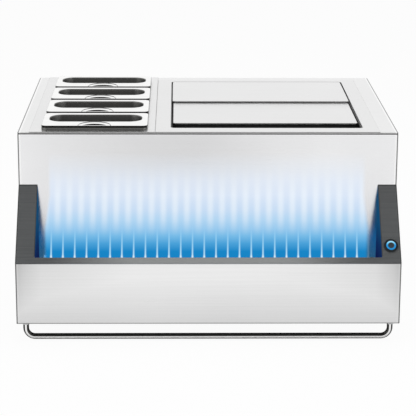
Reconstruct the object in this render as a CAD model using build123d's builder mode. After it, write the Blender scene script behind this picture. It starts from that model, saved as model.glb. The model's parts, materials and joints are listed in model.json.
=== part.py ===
"""Outdoor beverage center: a stainless cabinet with a lidded ice bin, four condiment pans, a lit bottle
rail with a push button, and a towel bar under the rail.

Millimetres. +Z is up, +X is to the right of a person standing in front, and the front faces -Y.
The origin is the middle of the footprint, at the level of the floor under the feet.
"""

import math
import os

from build123d import *

os.makedirs("parts", exist_ok=True)

# Cabinet
body_width = 762.0
body_depth = 572.0
cabinet_height = 363.0
sheet = 1.5
panel_flange = 18.0
deck_corner_radius = 6.0
deck_edge_radius = 0.8
deck_seal = 2.2
seal_inset = 0.4
base_upstand = 12.0

# Feet
foot_height = 40.0
foot_pad_radius = 20.0
foot_pad_thickness = 12.0
foot_stud_radius = 5.0
foot_inset_x = 52.0
foot_inset_y = 56.0
foot_stud_above_base = 14.0
foot_nut_radius = 9.8
foot_nut_thickness = 8.0

# Insert plates that lie on the deck
plate = 1.2
plate_edge_radius = 0.7
deck_margin_left = 22.6
deck_margin_right = 35.8
plate_front_gap = 0.6
bin_plate_rear_gap = 32.0
pan_plate_rear_gap = 1.0
plate_seam = 0.4
deck_cut_clearance = 1.0

# Ice bin
bin_flange = 31.0
bin_front_margin = 38.2
bin_rear_margin = 53.0
bin_mouth_radius = 8.0
bin_sheet = 1.2
ledge_drop = 22.0
ledge_side = 24.0
ledge_end = 6.0
tub_corner_radius = 28.0
foam_floor = 36.0
foam_side = 22.0
foam_end = 24.0
foam_clearance = 0.3

# Lids and the runners that they slide on
grip_floor = 3.0
grip_wall = 3.0
lid_plate = 2.4
lid_glide = 1.4
lid_edge_radius = 1.2
lid_corner_radius = 6.0
lid_front_slot = 60.7
front_lid_visible = 263.0
lid_overlap = 40.0
front_lid_lip_reach = 7.0
lid_step = 3.6
lid_end_gap = 1.2
lid_nest_gap = 0.5
lid_guide_gap = 0.5
lid_seat_gap = 0.2
runner_base = 3.0
runner_rib = 2.0
runner_rib_drop = 3.5

# Condiment pans, numbered from the front
pan_count = 4
pan_width = 213.5
pan_gap = 12.5
pan_front_margin = 17.2
pan_rear_margin = 33.3
pan_plate_border_left = 23.2
pan_plate_border_right = 15.3
pan_sheet = 1.0
pan_rim_height = 8.8
pan_rim_corner = 11.0
pan_rim_edge = 1.0
pan_lip_radius = 3.0
pan_side_flange = 13.0
pan_rear_flange = 15.0
pan_front_flange = 41.0
pan_bowl_depth = 100.0
pan_bowl_corner_share = 0.4
pan_bowl_taper = 3.0
pan_bowl_floor_radius = 8.0
pan_cut_clearance = 2.0
pan_seat_gap = 0.2
finger_bead_radius = 33.5
finger_bead_setback = 4.0
finger_bead = 0.8
finger_slot_radius = 27.3
finger_slot_front = 4.0
finger_slot_back = 18.3
well_sheet = 1.0
well_clearance = 6.0
well_floor_gap = 18.0

# Drain of the ice bin
drain_flange_radius = 27.0
drain_flange_thickness = 3.0
drain_barrel_radius = 15.0
drain_tail_radius = 14.0
drain_spigot_radius = 12.7
drain_spigot_below_base = 4.0
drain_bore_radius = 10.0
drain_hole_clearance = 0.5
drain_floor_gap = 8.0
drain_nut_radius = 23.0
drain_nut_thickness = 8.0
drain_gasket_thickness = 2.0
strainer_radius = 21.0
strainer_thickness = 1.5
strainer_hole_radius = 2.2
foam_drain_radius = 30.0

# Bottle rail
rail_depth = 116.0
rail_front_height = 126.2
arm_top_drop = 106.8
arm_width = 38.0
trim_thickness = 1.0
trim_bar = 12.4
rail_back_flange = 30.0
rail_bolt_count = 5
rail_bolt_pitch = 145.0
rail_bolt_above_upstand = 9.0
rail_bolt_radius = 3.0
rail_bolt_head_radius = 5.0
rail_bolt_head = 4.0
rail_nut_radius = 5.8
rail_nut_thickness = 5.0
bolt_clearance = 0.2

# Light bar in the rail
led_count = 27
led_margin_left = 23.9
led_margin_right = 37.9
led_below_rail_top = 24.1
led_channel_height = 12.0
led_channel_depth = 14.0
led_channel_wall = 1.5
led_channel_end = 16.0
led_board_thickness = 1.6
led_chip_size = 5.0
led_chip_height = 1.8
led_lens_thickness = 1.6
led_fit_gap = 0.1

# Lit push button on the right arm
switch_from_front = 37.4
switch_bezel_radius = 14.2
switch_bezel_height = 2.6
switch_barrel_radius = 11.0
switch_barrel_length = 30.0
switch_terminal_radius = 8.0
switch_terminal_length = 8.0
switch_ring_radius = 9.7
switch_ring_gap = 0.1
switch_ring_depth = 4.0
switch_ring_proud = 0.4
button_radius = 6.3
button_clearance = 0.08
button_proud = 1.0
button_height = 12.0
button_edge = 0.8
button_travel_room = 3.5
switch_nut_radius = 14.0
switch_nut_thickness = 4.0

# Wiring and supply
driver_width = 44.0
driver_length = 120.0
driver_height = 30.0
driver_from_right = 9.0
driver_from_front = 150.0
driver_ear = 12.0
driver_ear_thickness = 2.0
driver_screw_radius = 2.0
driver_screw_head_radius = 3.8
driver_screw_head = 2.4
cable_radius = 2.5
cable_bend_radius = 9.0
led_cable_first_bend = 5.0
cable_behind_panel = 45.0
cable_lead = 30.0
switch_cable_lead = 26.0
grommet_from_channel = 15.0
grommet_flange_radius = 6.5
grommet_flange_thickness = 1.5
grommet_neck_radius = 4.5
inlet_above_base = 60.0
inlet_flange_radius = 9.0
inlet_flange_thickness = 2.5
inlet_barrel_radius = 6.0
inlet_barrel_length = 20.0
inlet_bore_radius = 3.2
inlet_bore_depth = 12.0
inlet_nut_radius = 9.0
inlet_nut_thickness = 4.0

# Rear access cover
cover_width = 110.0
cover_height = 150.0
cover_from_left = 60.0
cover_above_base = 50.0
cover_lap = 12.0
cover_screw_radius = 2.0
cover_screw_head_radius = 4.0
cover_screw_head = 1.0
cover_screw_length = 8.0

# Towel bar
towel_rod_radius = 5.8
towel_inset = 17.5
towel_setback = 14.0
towel_floor_gap = 3.9
towel_bend_radius = 18.0
towel_stud_above_floor = 14.0
towel_nut_radius = 9.0
towel_nut_thickness = 6.0
towel_jam_nut = 4.0

# Main levels and planes
rear_proud = max(sheet + cover_screw_head, inlet_flange_thickness)
y_front = -(rail_depth + body_depth + rear_proud) / 2
y_body = y_front + rail_depth
y_rear = y_body + body_depth
y_middle = (y_body + y_rear) / 2
z_base = foot_height
z_deck = z_base + cabinet_height
z_plate = z_deck + plate
inner_half = body_width / 2 - sheet
z_panel_top = z_deck - sheet - deck_seal
panel_height = z_panel_top - z_base

# Plan of the two inserts on the deck
pan_plate_left = -body_width / 2 + deck_margin_left
pan_plate_width = pan_width + pan_plate_border_left + pan_plate_border_right
pan_x = pan_plate_left + pan_plate_border_left + pan_width / 2
pan_plate_x = pan_plate_left + pan_plate_width / 2
bin_plate_left = pan_plate_left + pan_plate_width + plate_seam
bin_plate_right = body_width / 2 - deck_margin_right
bin_plate_width = bin_plate_right - bin_plate_left
bin_width = bin_plate_width - 2 * bin_flange
bin_length = body_depth - bin_front_margin - bin_rear_margin
bin_x = (bin_plate_left + bin_plate_right) / 2
bin_y = y_body + bin_front_margin + bin_length / 2
plate_front = y_body + plate_front_gap

# Levels and plan of the ice bin
z_ledge = z_deck - ledge_drop
z_tub_floor = z_base + sheet + foam_floor + bin_sheet
tub_width = bin_width - 2 * ledge_side
tub_length = bin_length - 2 * ledge_end
tub_height = z_ledge - z_tub_floor

# Levels and plan of the pans
pan_pitch = (body_depth - pan_front_margin - pan_rear_margin + pan_gap) / pan_count
pan_depth = pan_pitch - pan_gap
z_pan_seat = z_plate + pan_seat_gap
z_pan_top = z_pan_seat + pan_rim_height
bowl_width = pan_width - 2 * pan_side_flange
bowl_length = pan_depth - pan_front_flange - pan_rear_flange
bowl_shift = (pan_front_flange - pan_rear_flange) / 2
pan_bowl_corner = pan_bowl_corner_share * bowl_length
pan_fronts = [y_body + pan_front_margin + row * pan_pitch for row in range(pan_count)]
z_well_floor = z_pan_top - pan_bowl_depth - well_floor_gap
well_width = bowl_width + 2 * pan_sheet + 2 * well_clearance
well_front = pan_fronts[0] + pan_front_flange - well_clearance
well_back = pan_fronts[-1] + pan_depth - pan_rear_flange + well_clearance
well_length = well_back - well_front
well_y = (well_front + well_back) / 2

# Sloped top of the rail's arms
z_rail_top = z_base + rail_front_height
z_arm_top = z_deck - arm_top_drop
slope_rise = z_arm_top - z_rail_top
slope_length = math.hypot(rail_depth, slope_rise)
slope_cos = rail_depth / slope_length
trim_drop = trim_thickness / slope_cos
arm_inner = body_width / 2 - arm_width
arm_middle = body_width / 2 - arm_width / 2
slope_plane = Plane(
    origin=(0, y_front, z_rail_top),
    x_dir=(1, 0, 0),
    z_dir=(0, -slope_rise, rail_depth),
)


def slope_height(y):
    """Height of the arms' sloped top at the depth y."""
    return z_rail_top + (y - y_front) * slope_rise / rail_depth


def facing_front(y):
    """Upright plane at the depth y, drawn in X and Z as seen from the front."""
    return Plane.XZ.offset(-y)


# Places of the fittings
rail_bolt_xs = [(i - (rail_bolt_count - 1) / 2) * rail_bolt_pitch for i in range(rail_bolt_count)]
z_rail_bolt = z_base + base_upstand + rail_bolt_above_upstand
z_led_top = z_rail_top - led_below_rail_top
z_led_base = z_led_top - led_channel_height
led_span = 2 * arm_inner - led_margin_left - led_margin_right
led_pitch = led_span / (led_count - 1)
led_x = (led_margin_left - led_margin_right) / 2
led_channel_length = led_span + 2 * led_channel_end
led_y = y_body - led_channel_depth / 2
led_end_x = led_x + led_channel_length / 2
z_led_cable = z_led_base + led_channel_height / 2
led_grommet_x = led_end_x + grommet_from_channel
switch_point = (arm_middle, switch_from_front)
switch_depth = switch_barrel_length + switch_terminal_length
switch_tail = slope_plane.from_local_coords((*switch_point, -switch_depth))
switch_turn = slope_plane.from_local_coords((*switch_point, -switch_depth - switch_cable_lead))
z_switch_grommet = switch_turn.Z
driver_x = inner_half - driver_from_right - driver_width / 2
driver_front = y_body + driver_from_front
z_driver = z_base + sheet
z_driver_cable = z_driver + driver_height / 2
inlet_x = driver_x
z_inlet = z_base + inlet_above_base
cover_x = -body_width / 2 + cover_from_left + cover_width / 2
z_cover = z_base + cover_above_base + cover_height / 2
towel_x = body_width / 2 - towel_inset
towel_y = y_front + towel_setback
z_towel = towel_floor_gap + towel_rod_radius
foot_points = [
    (side * (body_width / 2 - foot_inset_x), y)
    for side in (-1, 1)
    for y in (y_body + foot_inset_y, y_rear - foot_inset_y)
]
cover_screw_points = [
    (cover_x + sx * (cover_width - cover_lap) / 2, z_cover + sz * (cover_height - cover_lap) / 2)
    for sx in (-1, 1)
    for sz in (-1, 1)
]
driver_screw_points = [
    (driver_x, driver_front + driver_length / 2 + side * (driver_length + driver_ear) / 2)
    for side in (-1, 1)
]

# Top deck: one flat sheet with an opening for each insert
with BuildPart() as top_deck:
    with BuildSketch(Plane.XY.offset(z_deck - sheet)) as deck_outline:
        with Locations((0, y_middle)):
            Rectangle(body_width, body_depth)
        fillet(deck_outline.vertices().group_by(Axis.Y)[-1], deck_corner_radius)
        with Locations((bin_x, bin_y)):
            RectangleRounded(
                bin_width + 2 * bin_sheet + 2 * deck_cut_clearance,
                bin_length + 2 * bin_sheet + 2 * deck_cut_clearance,
                bin_mouth_radius + bin_sheet + deck_cut_clearance,
                mode=Mode.SUBTRACT,
            )
        with Locations((pan_x, well_y)):
            Rectangle(
                well_width + 2 * well_sheet + 2 * deck_cut_clearance,
                well_length + 2 * well_sheet + 2 * deck_cut_clearance,
                mode=Mode.SUBTRACT,
            )
    extrude(amount=sheet)
    fillet(top_deck.faces().sort_by(Axis.Z)[-1].outer_wire().edges(), deck_edge_radius)
top_deck.part.label = "top_deck"
export_step(top_deck.part, "parts/top_deck.step")

# Deck seal: a dark rubber strip between the deck and the flanges of the four panels
with BuildPart() as deck_gasket:
    with BuildSketch(Plane.XY.offset(z_panel_top)) as seal_outline:
        with Locations((0, y_middle)):
            Rectangle(body_width - 2 * seal_inset, body_depth - 2 * seal_inset)
        fillet(seal_outline.vertices().group_by(Axis.Y)[-1], deck_corner_radius)
        with Locations((0, y_middle)):
            Rectangle(body_width - 2 * panel_flange, body_depth - 2 * panel_flange, mode=Mode.SUBTRACT)
    extrude(amount=deck_seal)
deck_gasket.part.label = "deck_gasket"
export_step(deck_gasket.part, "parts/deck_gasket.step")

# Front panel: the flat brushed sheet that the light washes over, with a return flange under the deck
with BuildPart() as front_panel:
    with BuildSketch(facing_front(y_body)):
        with Locations((0, z_base + panel_height / 2)):
            Rectangle(body_width, panel_height)
        with Locations(*[(x, z_rail_bolt) for x in rail_bolt_xs]):
            Circle(rail_bolt_radius + bolt_clearance, mode=Mode.SUBTRACT)
        with Locations((led_grommet_x, z_led_cable), (arm_middle, z_switch_grommet)):
            Circle(grommet_neck_radius + bolt_clearance, mode=Mode.SUBTRACT)
    extrude(amount=-sheet)
    with BuildSketch(Plane.XY.offset(z_panel_top - sheet)):
        with Locations((0, y_body + panel_flange / 2)):
            Rectangle(2 * inner_half, panel_flange)
    extrude(amount=sheet)
front_panel.part.label = "front_panel"
export_step(front_panel.part, "parts/front_panel.step")

# Side panels between the front and the rear panel, each with a return flange under the deck
for side_name, side in (("left", -1), ("right", 1)):
    with BuildPart() as side_panel:
        with BuildSketch(Plane.YZ.offset(side * inner_half)):
            with Locations((y_middle, z_base + panel_height / 2)):
                Rectangle(body_depth - 2 * sheet, panel_height)
        extrude(amount=side * sheet)
        with BuildSketch(Plane.XY.offset(z_panel_top - sheet)):
            with Locations((side * (inner_half - panel_flange / 2), y_middle)):
                Rectangle(panel_flange, body_depth - 2 * panel_flange - 2 * sheet)
        extrude(amount=sheet)
    side_panel.part.label = f"{side_name}_side_panel"
    export_step(side_panel.part, f"parts/{side_name}_side_panel.step")

# Rear panel with the access opening, the inlet hole and a return flange
with BuildPart() as rear_panel:
    with BuildSketch(facing_front(y_rear - sheet)):
        with Locations((0, z_base + panel_height / 2)):
            Rectangle(body_width, panel_height)
        with Locations((cover_x, z_cover)):
            Rectangle(cover_width - 2 * cover_lap, cover_height - 2 * cover_lap, mode=Mode.SUBTRACT)
        with Locations(*cover_screw_points):
            Circle(cover_screw_radius + bolt_clearance, mode=Mode.SUBTRACT)
        with Locations((inlet_x, z_inlet)):
            Circle(inlet_barrel_radius + bolt_clearance, mode=Mode.SUBTRACT)
    extrude(amount=-sheet)
    with BuildSketch(Plane.XY.offset(z_panel_top - sheet)):
        with Locations((0, y_rear - panel_flange / 2)):
            Rectangle(2 * inner_half, panel_flange)
    extrude(amount=sheet)
rear_panel.part.label = "rear_panel"
export_step(rear_panel.part, "parts/rear_panel.step")

# Base pan: a shallow upturned tray inside the four panels
with BuildPart() as base_pan:
    with BuildSketch(Plane.XY.offset(z_base)):
        with Locations((0, y_middle)):
            Rectangle(2 * inner_half, body_depth - 2 * sheet)
    extrude(amount=base_upstand)
    with BuildSketch(Plane.XY.offset(z_base + sheet)):
        with Locations((0, y_middle)):
            Rectangle(2 * inner_half - 2 * sheet, body_depth - 4 * sheet)
    extrude(amount=base_upstand, mode=Mode.SUBTRACT)
    with BuildSketch(Plane.XY.offset(z_base)):
        with Locations(*foot_points):
            Circle(foot_stud_radius + bolt_clearance)
        with Locations((bin_x, bin_y)):
            Circle(drain_tail_radius + 2 * drain_hole_clearance)
        with Locations(*driver_screw_points):
            Circle(driver_screw_radius + bolt_clearance)
    extrude(amount=sheet, mode=Mode.SUBTRACT)
base_pan.part.label = "base_pan"
export_step(base_pan.part, "parts/base_pan.step")

# Rear access cover and its four screws
with BuildPart() as rear_access_cover:
    with BuildSketch(facing_front(y_rear)):
        with Locations((cover_x, z_cover)):
            RectangleRounded(cover_width, cover_height, cover_lap / 3)
        with Locations(*cover_screw_points):
            Circle(cover_screw_radius + bolt_clearance, mode=Mode.SUBTRACT)
    extrude(amount=-sheet)
rear_access_cover.part.label = "rear_access_cover"
export_step(rear_access_cover.part, "parts/rear_access_cover.step")

with BuildPart() as access_cover_screws:
    with BuildSketch(facing_front(y_rear + sheet)):
        with Locations(*cover_screw_points):
            Circle(cover_screw_head_radius)
    extrude(amount=-cover_screw_head)
    with BuildSketch(facing_front(y_rear + sheet)):
        with Locations(*cover_screw_points):
            Circle(cover_screw_radius)
    extrude(amount=cover_screw_length)
access_cover_screws.part.label = "access_cover_screws"
export_step(access_cover_screws.part, "parts/access_cover_screws.step")

# Ice bin mouth: a flange on the deck, an upright collar and a ledge for the runners
with BuildPart() as ice_bin_flange:
    with BuildSketch(Plane.XY.offset(z_deck)):
        with Locations((bin_x, (plate_front + y_rear - bin_plate_rear_gap) / 2)):
            Rectangle(bin_plate_width, y_rear - bin_plate_rear_gap - plate_front)
    extrude(amount=plate)
    fillet(ice_bin_flange.faces().sort_by(Axis.Z)[-1].edges(), plate_edge_radius)
    with BuildSketch(Plane.XY.offset(z_ledge - bin_sheet)):
        with Locations((bin_x, bin_y)):
            RectangleRounded(
                bin_width + 2 * bin_sheet, bin_length + 2 * bin_sheet, bin_mouth_radius + bin_sheet
            )
    extrude(amount=ledge_drop + bin_sheet)
    with BuildSketch(Plane.XY.offset(z_ledge)):
        with Locations((bin_x, bin_y)):
            RectangleRounded(bin_width, bin_length, bin_mouth_radius)
    extrude(amount=ledge_drop + plate, mode=Mode.SUBTRACT)
    with BuildSketch(Plane.XY.offset(z_ledge - bin_sheet)):
        with Locations((bin_x, bin_y)):
            RectangleRounded(tub_width, tub_length, tub_corner_radius)
    extrude(amount=bin_sheet, mode=Mode.SUBTRACT)
ice_bin_flange.part.label = "ice_bin_flange"
export_step(ice_bin_flange.part, "parts/ice_bin_flange.step")

# Ice bin walls: one sheet wrapped round with rounded corners, welded under the ledge
with BuildPart() as ice_bin_walls:
    with BuildSketch(Plane.XY.offset(z_tub_floor)):
        with Locations((bin_x, bin_y)):
            RectangleRounded(
                tub_width + 2 * bin_sheet, tub_length + 2 * bin_sheet, tub_corner_radius + bin_sheet
            )
            RectangleRounded(tub_width, tub_length, tub_corner_radius, mode=Mode.SUBTRACT)
    extrude(amount=tub_height - bin_sheet)
ice_bin_walls.part.label = "ice_bin_walls"
export_step(ice_bin_walls.part, "parts/ice_bin_walls.step")

# Ice bin floor: a flat sheet under the walls, with the hole for the drain
with BuildPart() as ice_bin_floor:
    with BuildSketch(Plane.XY.offset(z_tub_floor - bin_sheet)):
        with Locations((bin_x, bin_y)):
            RectangleRounded(
                tub_width + 2 * bin_sheet, tub_length + 2 * bin_sheet, tub_corner_radius + bin_sheet
            )
            Circle(drain_barrel_radius + drain_hole_clearance, mode=Mode.SUBTRACT)
    extrude(amount=bin_sheet)
ice_bin_floor.part.label = "ice_bin_floor"
export_step(ice_bin_floor.part, "parts/ice_bin_floor.step")

# Foam jacket round the tub, standing on the base pan
with BuildPart() as ice_bin_insulation:
    with BuildSketch(Plane.XY.offset(z_base + sheet)):
        with Locations((bin_x, bin_y)):
            Rectangle(
                tub_width + 2 * bin_sheet + 2 * foam_side, tub_length + 2 * bin_sheet + 2 * foam_end
            )
            Circle(foam_drain_radius, mode=Mode.SUBTRACT)
    extrude(amount=z_ledge - bin_sheet - z_base - sheet)
    with BuildSketch(Plane.XY.offset(z_tub_floor - bin_sheet)):
        with Locations((bin_x, bin_y)):
            RectangleRounded(
                tub_width + 2 * bin_sheet + 2 * foam_clearance,
                tub_length + 2 * bin_sheet + 2 * foam_clearance,
                tub_corner_radius + bin_sheet + foam_clearance,
            )
    extrude(amount=tub_height + bin_sheet, mode=Mode.SUBTRACT)
ice_bin_insulation.part.label = "ice_bin_insulation"
export_step(ice_bin_insulation.part, "parts/ice_bin_insulation.step")

# Runners: low-friction angle strips on the side ledges, with a rib that keeps the lids straight
runner_length = bin_length - 2 * bin_mouth_radius
for side_name, side in (("left", -1), ("right", 1)):
    with BuildPart() as lid_runner:
        wall_x = bin_x + side * bin_width / 2
        with BuildSketch(facing_front(bin_y + runner_length / 2)):
            with Locations((wall_x - side * ledge_side / 2, z_ledge + runner_base / 2)):
                Rectangle(ledge_side, runner_base)
            with Locations((wall_x - side * runner_rib / 2, z_ledge + (ledge_drop - runner_rib_drop) / 2)):
                Rectangle(runner_rib, ledge_drop - runner_rib_drop)
        extrude(amount=runner_length)
    lid_runner.part.label = f"lid_runner_{side_name}"
    export_step(lid_runner.part, f"parts/lid_runner_{side_name}.step")

# Lids: double-skinned plates on side glides; the rear one is flush with the bin's flange, and the front
# one is lower and narrower, so that it slides under it
z_runner = z_ledge + runner_base + lid_seat_gap
z_rear_lid = z_plate
z_front_lid = z_rear_lid - lid_step
rear_lid_width = bin_width - 2 * runner_rib - 2 * lid_guide_gap
front_lid_width = rear_lid_width - 2 * lid_glide - 2 * lid_nest_gap
mouth_front = bin_y - bin_length / 2
lid_front = mouth_front + lid_front_slot
lid_split = y_body + bin_front_margin + front_lid_visible
lid_back = bin_y + bin_length / 2 - lid_end_gap
front_lid_length = lid_split + lid_overlap - lid_front
rear_lid_length = lid_back - lid_split

for lid_name, lid_top, lid_start, lid_width, lid_length in (
    ("front_lid", z_front_lid, lid_front, front_lid_width, front_lid_length),
    ("rear_lid", z_rear_lid, lid_split, rear_lid_width, rear_lid_length),
):
    with BuildPart() as lid:
        with BuildSketch(Plane.XY.offset(lid_top - lid_plate)):
            with Locations((bin_x, lid_start + lid_length / 2)):
                RectangleRounded(lid_width, lid_length, lid_corner_radius)
        extrude(amount=lid_plate)
        fillet(lid.faces().sort_by(Axis.Z)[-1].edges(), lid_edge_radius)
    lid.part.label = lid_name
    export_step(lid.part, f"parts/{lid_name}.step")

    with BuildPart() as lid_glides:
        with BuildSketch(Plane.XY.offset(z_runner)):
            for side in (-1, 1):
                with Locations(
                    (bin_x + side * (lid_width - lid_glide) / 2, lid_start + lid_length / 2)
                ):
                    Rectangle(lid_glide, lid_length - 2 * lid_corner_radius)
        extrude(amount=lid_top - lid_plate - z_runner)
    lid_glides.part.label = f"{lid_name}_glides"
    export_step(lid_glides.part, f"parts/{lid_name}_glides.step")

# Grip: a dark angle strip that closes the bin in front of the front lid and leaves a slot for the fingers
grip_back = lid_front + front_lid_lip_reach + grip_wall
with BuildPart() as front_lid_grip:
    with BuildSketch(Plane.XY.offset(z_runner)):
        with Locations((bin_x, (mouth_front + lid_end_gap + grip_back) / 2)):
            Rectangle(front_lid_width - 2 * lid_glide, grip_back - mouth_front - lid_end_gap)
    extrude(amount=grip_floor)
    with BuildSketch(Plane.XY.offset(z_runner)):
        with Locations((bin_x, grip_back - grip_wall / 2)):
            Rectangle(front_lid_width - 2 * lid_glide, grip_wall)
    extrude(amount=z_front_lid - lid_plate - z_runner)
front_lid_grip.part.label = "front_lid_grip"
export_step(front_lid_grip.part, "parts/front_lid_grip.step")

# Condiment frame: the plate on the deck, with one cut-out for each pan
with BuildPart() as condiment_frame:
    with BuildSketch(Plane.XY.offset(z_deck)):
        with Locations((pan_plate_x, (plate_front + y_rear - pan_plate_rear_gap) / 2)):
            Rectangle(pan_plate_width, y_rear - pan_plate_rear_gap - plate_front)
        with Locations(*[(pan_x, front + pan_depth / 2 + bowl_shift) for front in pan_fronts]):
            RectangleRounded(
                bowl_width + 2 * pan_sheet + 2 * pan_cut_clearance,
                bowl_length + 2 * pan_sheet + 2 * pan_cut_clearance,
                pan_bowl_corner + pan_sheet + pan_cut_clearance,
                mode=Mode.SUBTRACT,
            )
    extrude(amount=plate)
    fillet(condiment_frame.faces().sort_by(Axis.Z)[-1].outer_wire().edges(), plate_edge_radius)
condiment_frame.part.label = "condiment_frame"
export_step(condiment_frame.part, "parts/condiment_frame.step")

# Condiment well: the open box under the frame that the pans hang in
with BuildPart() as condiment_well:
    with BuildSketch(Plane.XY.offset(z_well_floor - well_sheet)):
        with Locations((pan_x, well_y)):
            Rectangle(well_width + 2 * well_sheet, well_length + 2 * well_sheet)
    extrude(amount=z_deck - z_well_floor + well_sheet)
    with BuildSketch(Plane.XY.offset(z_well_floor)):
        with Locations((pan_x, well_y)):
            Rectangle(well_width, well_length)
    extrude(amount=z_deck - z_well_floor, mode=Mode.SUBTRACT)
condiment_well.part.label = "condiment_well"
export_step(condiment_well.part, "parts/condiment_well.step")

# Condiment pans: a drawn bowl with a rolled lip under a wide rim with a turned-down edge, and a half-moon
# finger slot with a bead round it
for row, front in enumerate(pan_fronts):
    bowl_centre = (pan_x, front + pan_depth / 2 + bowl_shift)
    bead_y = front + finger_bead_setback
    with BuildPart() as bowl_space:
        with BuildSketch(Plane.XY.offset(z_pan_top)):
            with Locations(bowl_centre):
                RectangleRounded(bowl_width, bowl_length, pan_bowl_corner)
        extrude(amount=-(pan_bowl_depth - pan_sheet), taper=pan_bowl_taper)
        fillet(bowl_space.faces().sort_by(Axis.Z)[0].edges(), pan_bowl_floor_radius)
    with BuildPart() as condiment_pan:
        with BuildSketch(Plane.XY.offset(z_pan_seat)):
            with Locations((pan_x, front + pan_depth / 2)):
                RectangleRounded(pan_width, pan_depth, pan_rim_corner)
        extrude(amount=pan_rim_height)
        fillet(condiment_pan.faces().sort_by(Axis.Z)[-1].edges(), pan_rim_edge)
        with BuildSketch(Plane.XY.offset(z_pan_seat)):
            with Locations((pan_x, front + pan_depth / 2)):
                RectangleRounded(
                    pan_width - 2 * pan_sheet, pan_depth - 2 * pan_sheet, pan_rim_corner - pan_sheet
                )
        extrude(amount=pan_rim_height - pan_sheet, mode=Mode.SUBTRACT)
        with BuildSketch(Plane.XY.offset(z_pan_top - pan_sheet / 2)):
            with Locations(bowl_centre):
                RectangleRounded(
                    bowl_width + 2 * pan_sheet, bowl_length + 2 * pan_sheet, pan_bowl_corner + pan_sheet
                )
        extrude(amount=-(pan_bowl_depth - pan_sheet / 2), taper=pan_bowl_taper)
        fillet(condiment_pan.faces().sort_by(Axis.Z)[0].edges(), pan_bowl_floor_radius + pan_sheet)
        under_lip = condiment_pan.faces().filter_by_position(
            Axis.Z, z_pan_top - 1.01 * pan_sheet, z_pan_top - 0.99 * pan_sheet
        )
        fillet(under_lip.sort_by(SortBy.AREA)[-1].inner_wires()[0].edges(), pan_lip_radius - pan_sheet)
        add(bowl_space.part, mode=Mode.SUBTRACT)
        rim_top = condiment_pan.faces().sort_by(Axis.Z)[-1]
        fillet(rim_top.inner_wires()[0].edges(), pan_lip_radius)
        with BuildSketch(facing_front(bead_y)):
            with Locations((pan_x + finger_bead_radius - finger_bead, z_pan_top)):
                Circle(finger_bead)
        revolve(axis=Axis((pan_x, bead_y, 0), (0, 0, 1)), revolution_arc=180)
        with BuildSketch(Plane.XY.offset(z_pan_top)):
            with Locations((pan_x, front + finger_slot_back - finger_slot_radius)):
                Circle(finger_slot_radius)
            with Locations((pan_x, front + finger_slot_front)):
                Rectangle(
                    2 * finger_slot_radius,
                    2 * finger_slot_radius,
                    align=(Align.CENTER, Align.MAX),
                    mode=Mode.SUBTRACT,
                )
        extrude(amount=-2 * pan_sheet, mode=Mode.SUBTRACT)
    condiment_pan.part.label = f"condiment_pan_{row + 1}"
    export_step(condiment_pan.part, f"parts/condiment_pan_{row + 1}.step")

# Drain of the ice bin: flanged body, strainer, and the gasket and nut that clamp it under the tub
z_drain_flange = z_tub_floor + drain_flange_thickness
z_gasket = z_tub_floor - bin_sheet - drain_gasket_thickness
with BuildPart() as drain_body:
    with BuildSketch(Plane.XY.offset(z_tub_floor)):
        with Locations((bin_x, bin_y)):
            Circle(drain_flange_radius)
    extrude(amount=drain_flange_thickness)
    with BuildSketch(Plane.XY.offset(z_tub_floor)):
        with Locations((bin_x, bin_y)):
            Circle(drain_barrel_radius)
    extrude(amount=-(bin_sheet + drain_gasket_thickness + drain_nut_thickness))
    with BuildSketch(Plane.XY.offset(z_base - drain_spigot_below_base)):
        with Locations((bin_x, bin_y)):
            Circle(drain_tail_radius)
    extrude(amount=z_tub_floor - z_base + drain_spigot_below_base)
    with BuildSketch(Plane.XY.offset(drain_floor_gap)):
        with Locations((bin_x, bin_y)):
            Circle(drain_spigot_radius)
    extrude(amount=z_base - drain_spigot_below_base - drain_floor_gap)
    with BuildSketch(Plane.XY.offset(drain_floor_gap)):
        with Locations((bin_x, bin_y)):
            Circle(drain_bore_radius)
    extrude(amount=z_drain_flange - drain_floor_gap, mode=Mode.SUBTRACT)
    with BuildSketch(Plane.XY.offset(z_drain_flange)):
        with Locations((bin_x, bin_y)):
            Circle(strainer_radius + bolt_clearance)
    extrude(amount=-strainer_thickness, mode=Mode.SUBTRACT)
drain_body.part.label = "drain_body"
export_step(drain_body.part, "parts/drain_body.step")

with BuildPart() as drain_strainer:
    with BuildSketch(Plane.XY.offset(z_drain_flange - strainer_thickness)):
        with Locations((bin_x, bin_y)):
            Circle(strainer_radius)
            Circle(strainer_hole_radius, mode=Mode.SUBTRACT)
            with PolarLocations(drain_bore_radius * 0.65, 6):
                Circle(strainer_hole_radius, mode=Mode.SUBTRACT)
    extrude(amount=strainer_thickness)
drain_strainer.part.label = "drain_strainer"
export_step(drain_strainer.part, "parts/drain_strainer.step")

with BuildPart() as drain_gasket:
    with BuildSketch(Plane.XY.offset(z_gasket)):
        with Locations((bin_x, bin_y)):
            Circle(drain_nut_radius)
            Circle(drain_barrel_radius + bolt_clearance, mode=Mode.SUBTRACT)
    extrude(amount=drain_gasket_thickness)
drain_gasket.part.label = "drain_gasket"
export_step(drain_gasket.part, "parts/drain_gasket.step")

with BuildPart() as drain_nut:
    with BuildSketch(Plane.XY.offset(z_gasket - drain_nut_thickness)):
        with Locations((bin_x, bin_y)):
            RegularPolygon(drain_nut_radius, 6)
            Circle(drain_barrel_radius + bolt_clearance, mode=Mode.SUBTRACT)
    extrude(amount=drain_nut_thickness)
drain_nut.part.label = "drain_nut"
export_step(drain_nut.part, "parts/drain_nut.step")

# Rail front panel
with BuildPart() as rail_front_panel:
    with BuildSketch(facing_front(y_front)):
        with Locations((0, z_base + (rail_front_height - trim_drop) / 2)):
            Rectangle(body_width, rail_front_height - trim_drop)
    extrude(amount=-sheet)
rail_front_panel.part.label = "rail_front_panel"
export_step(rail_front_panel.part, "parts/rail_front_panel.step")

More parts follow.
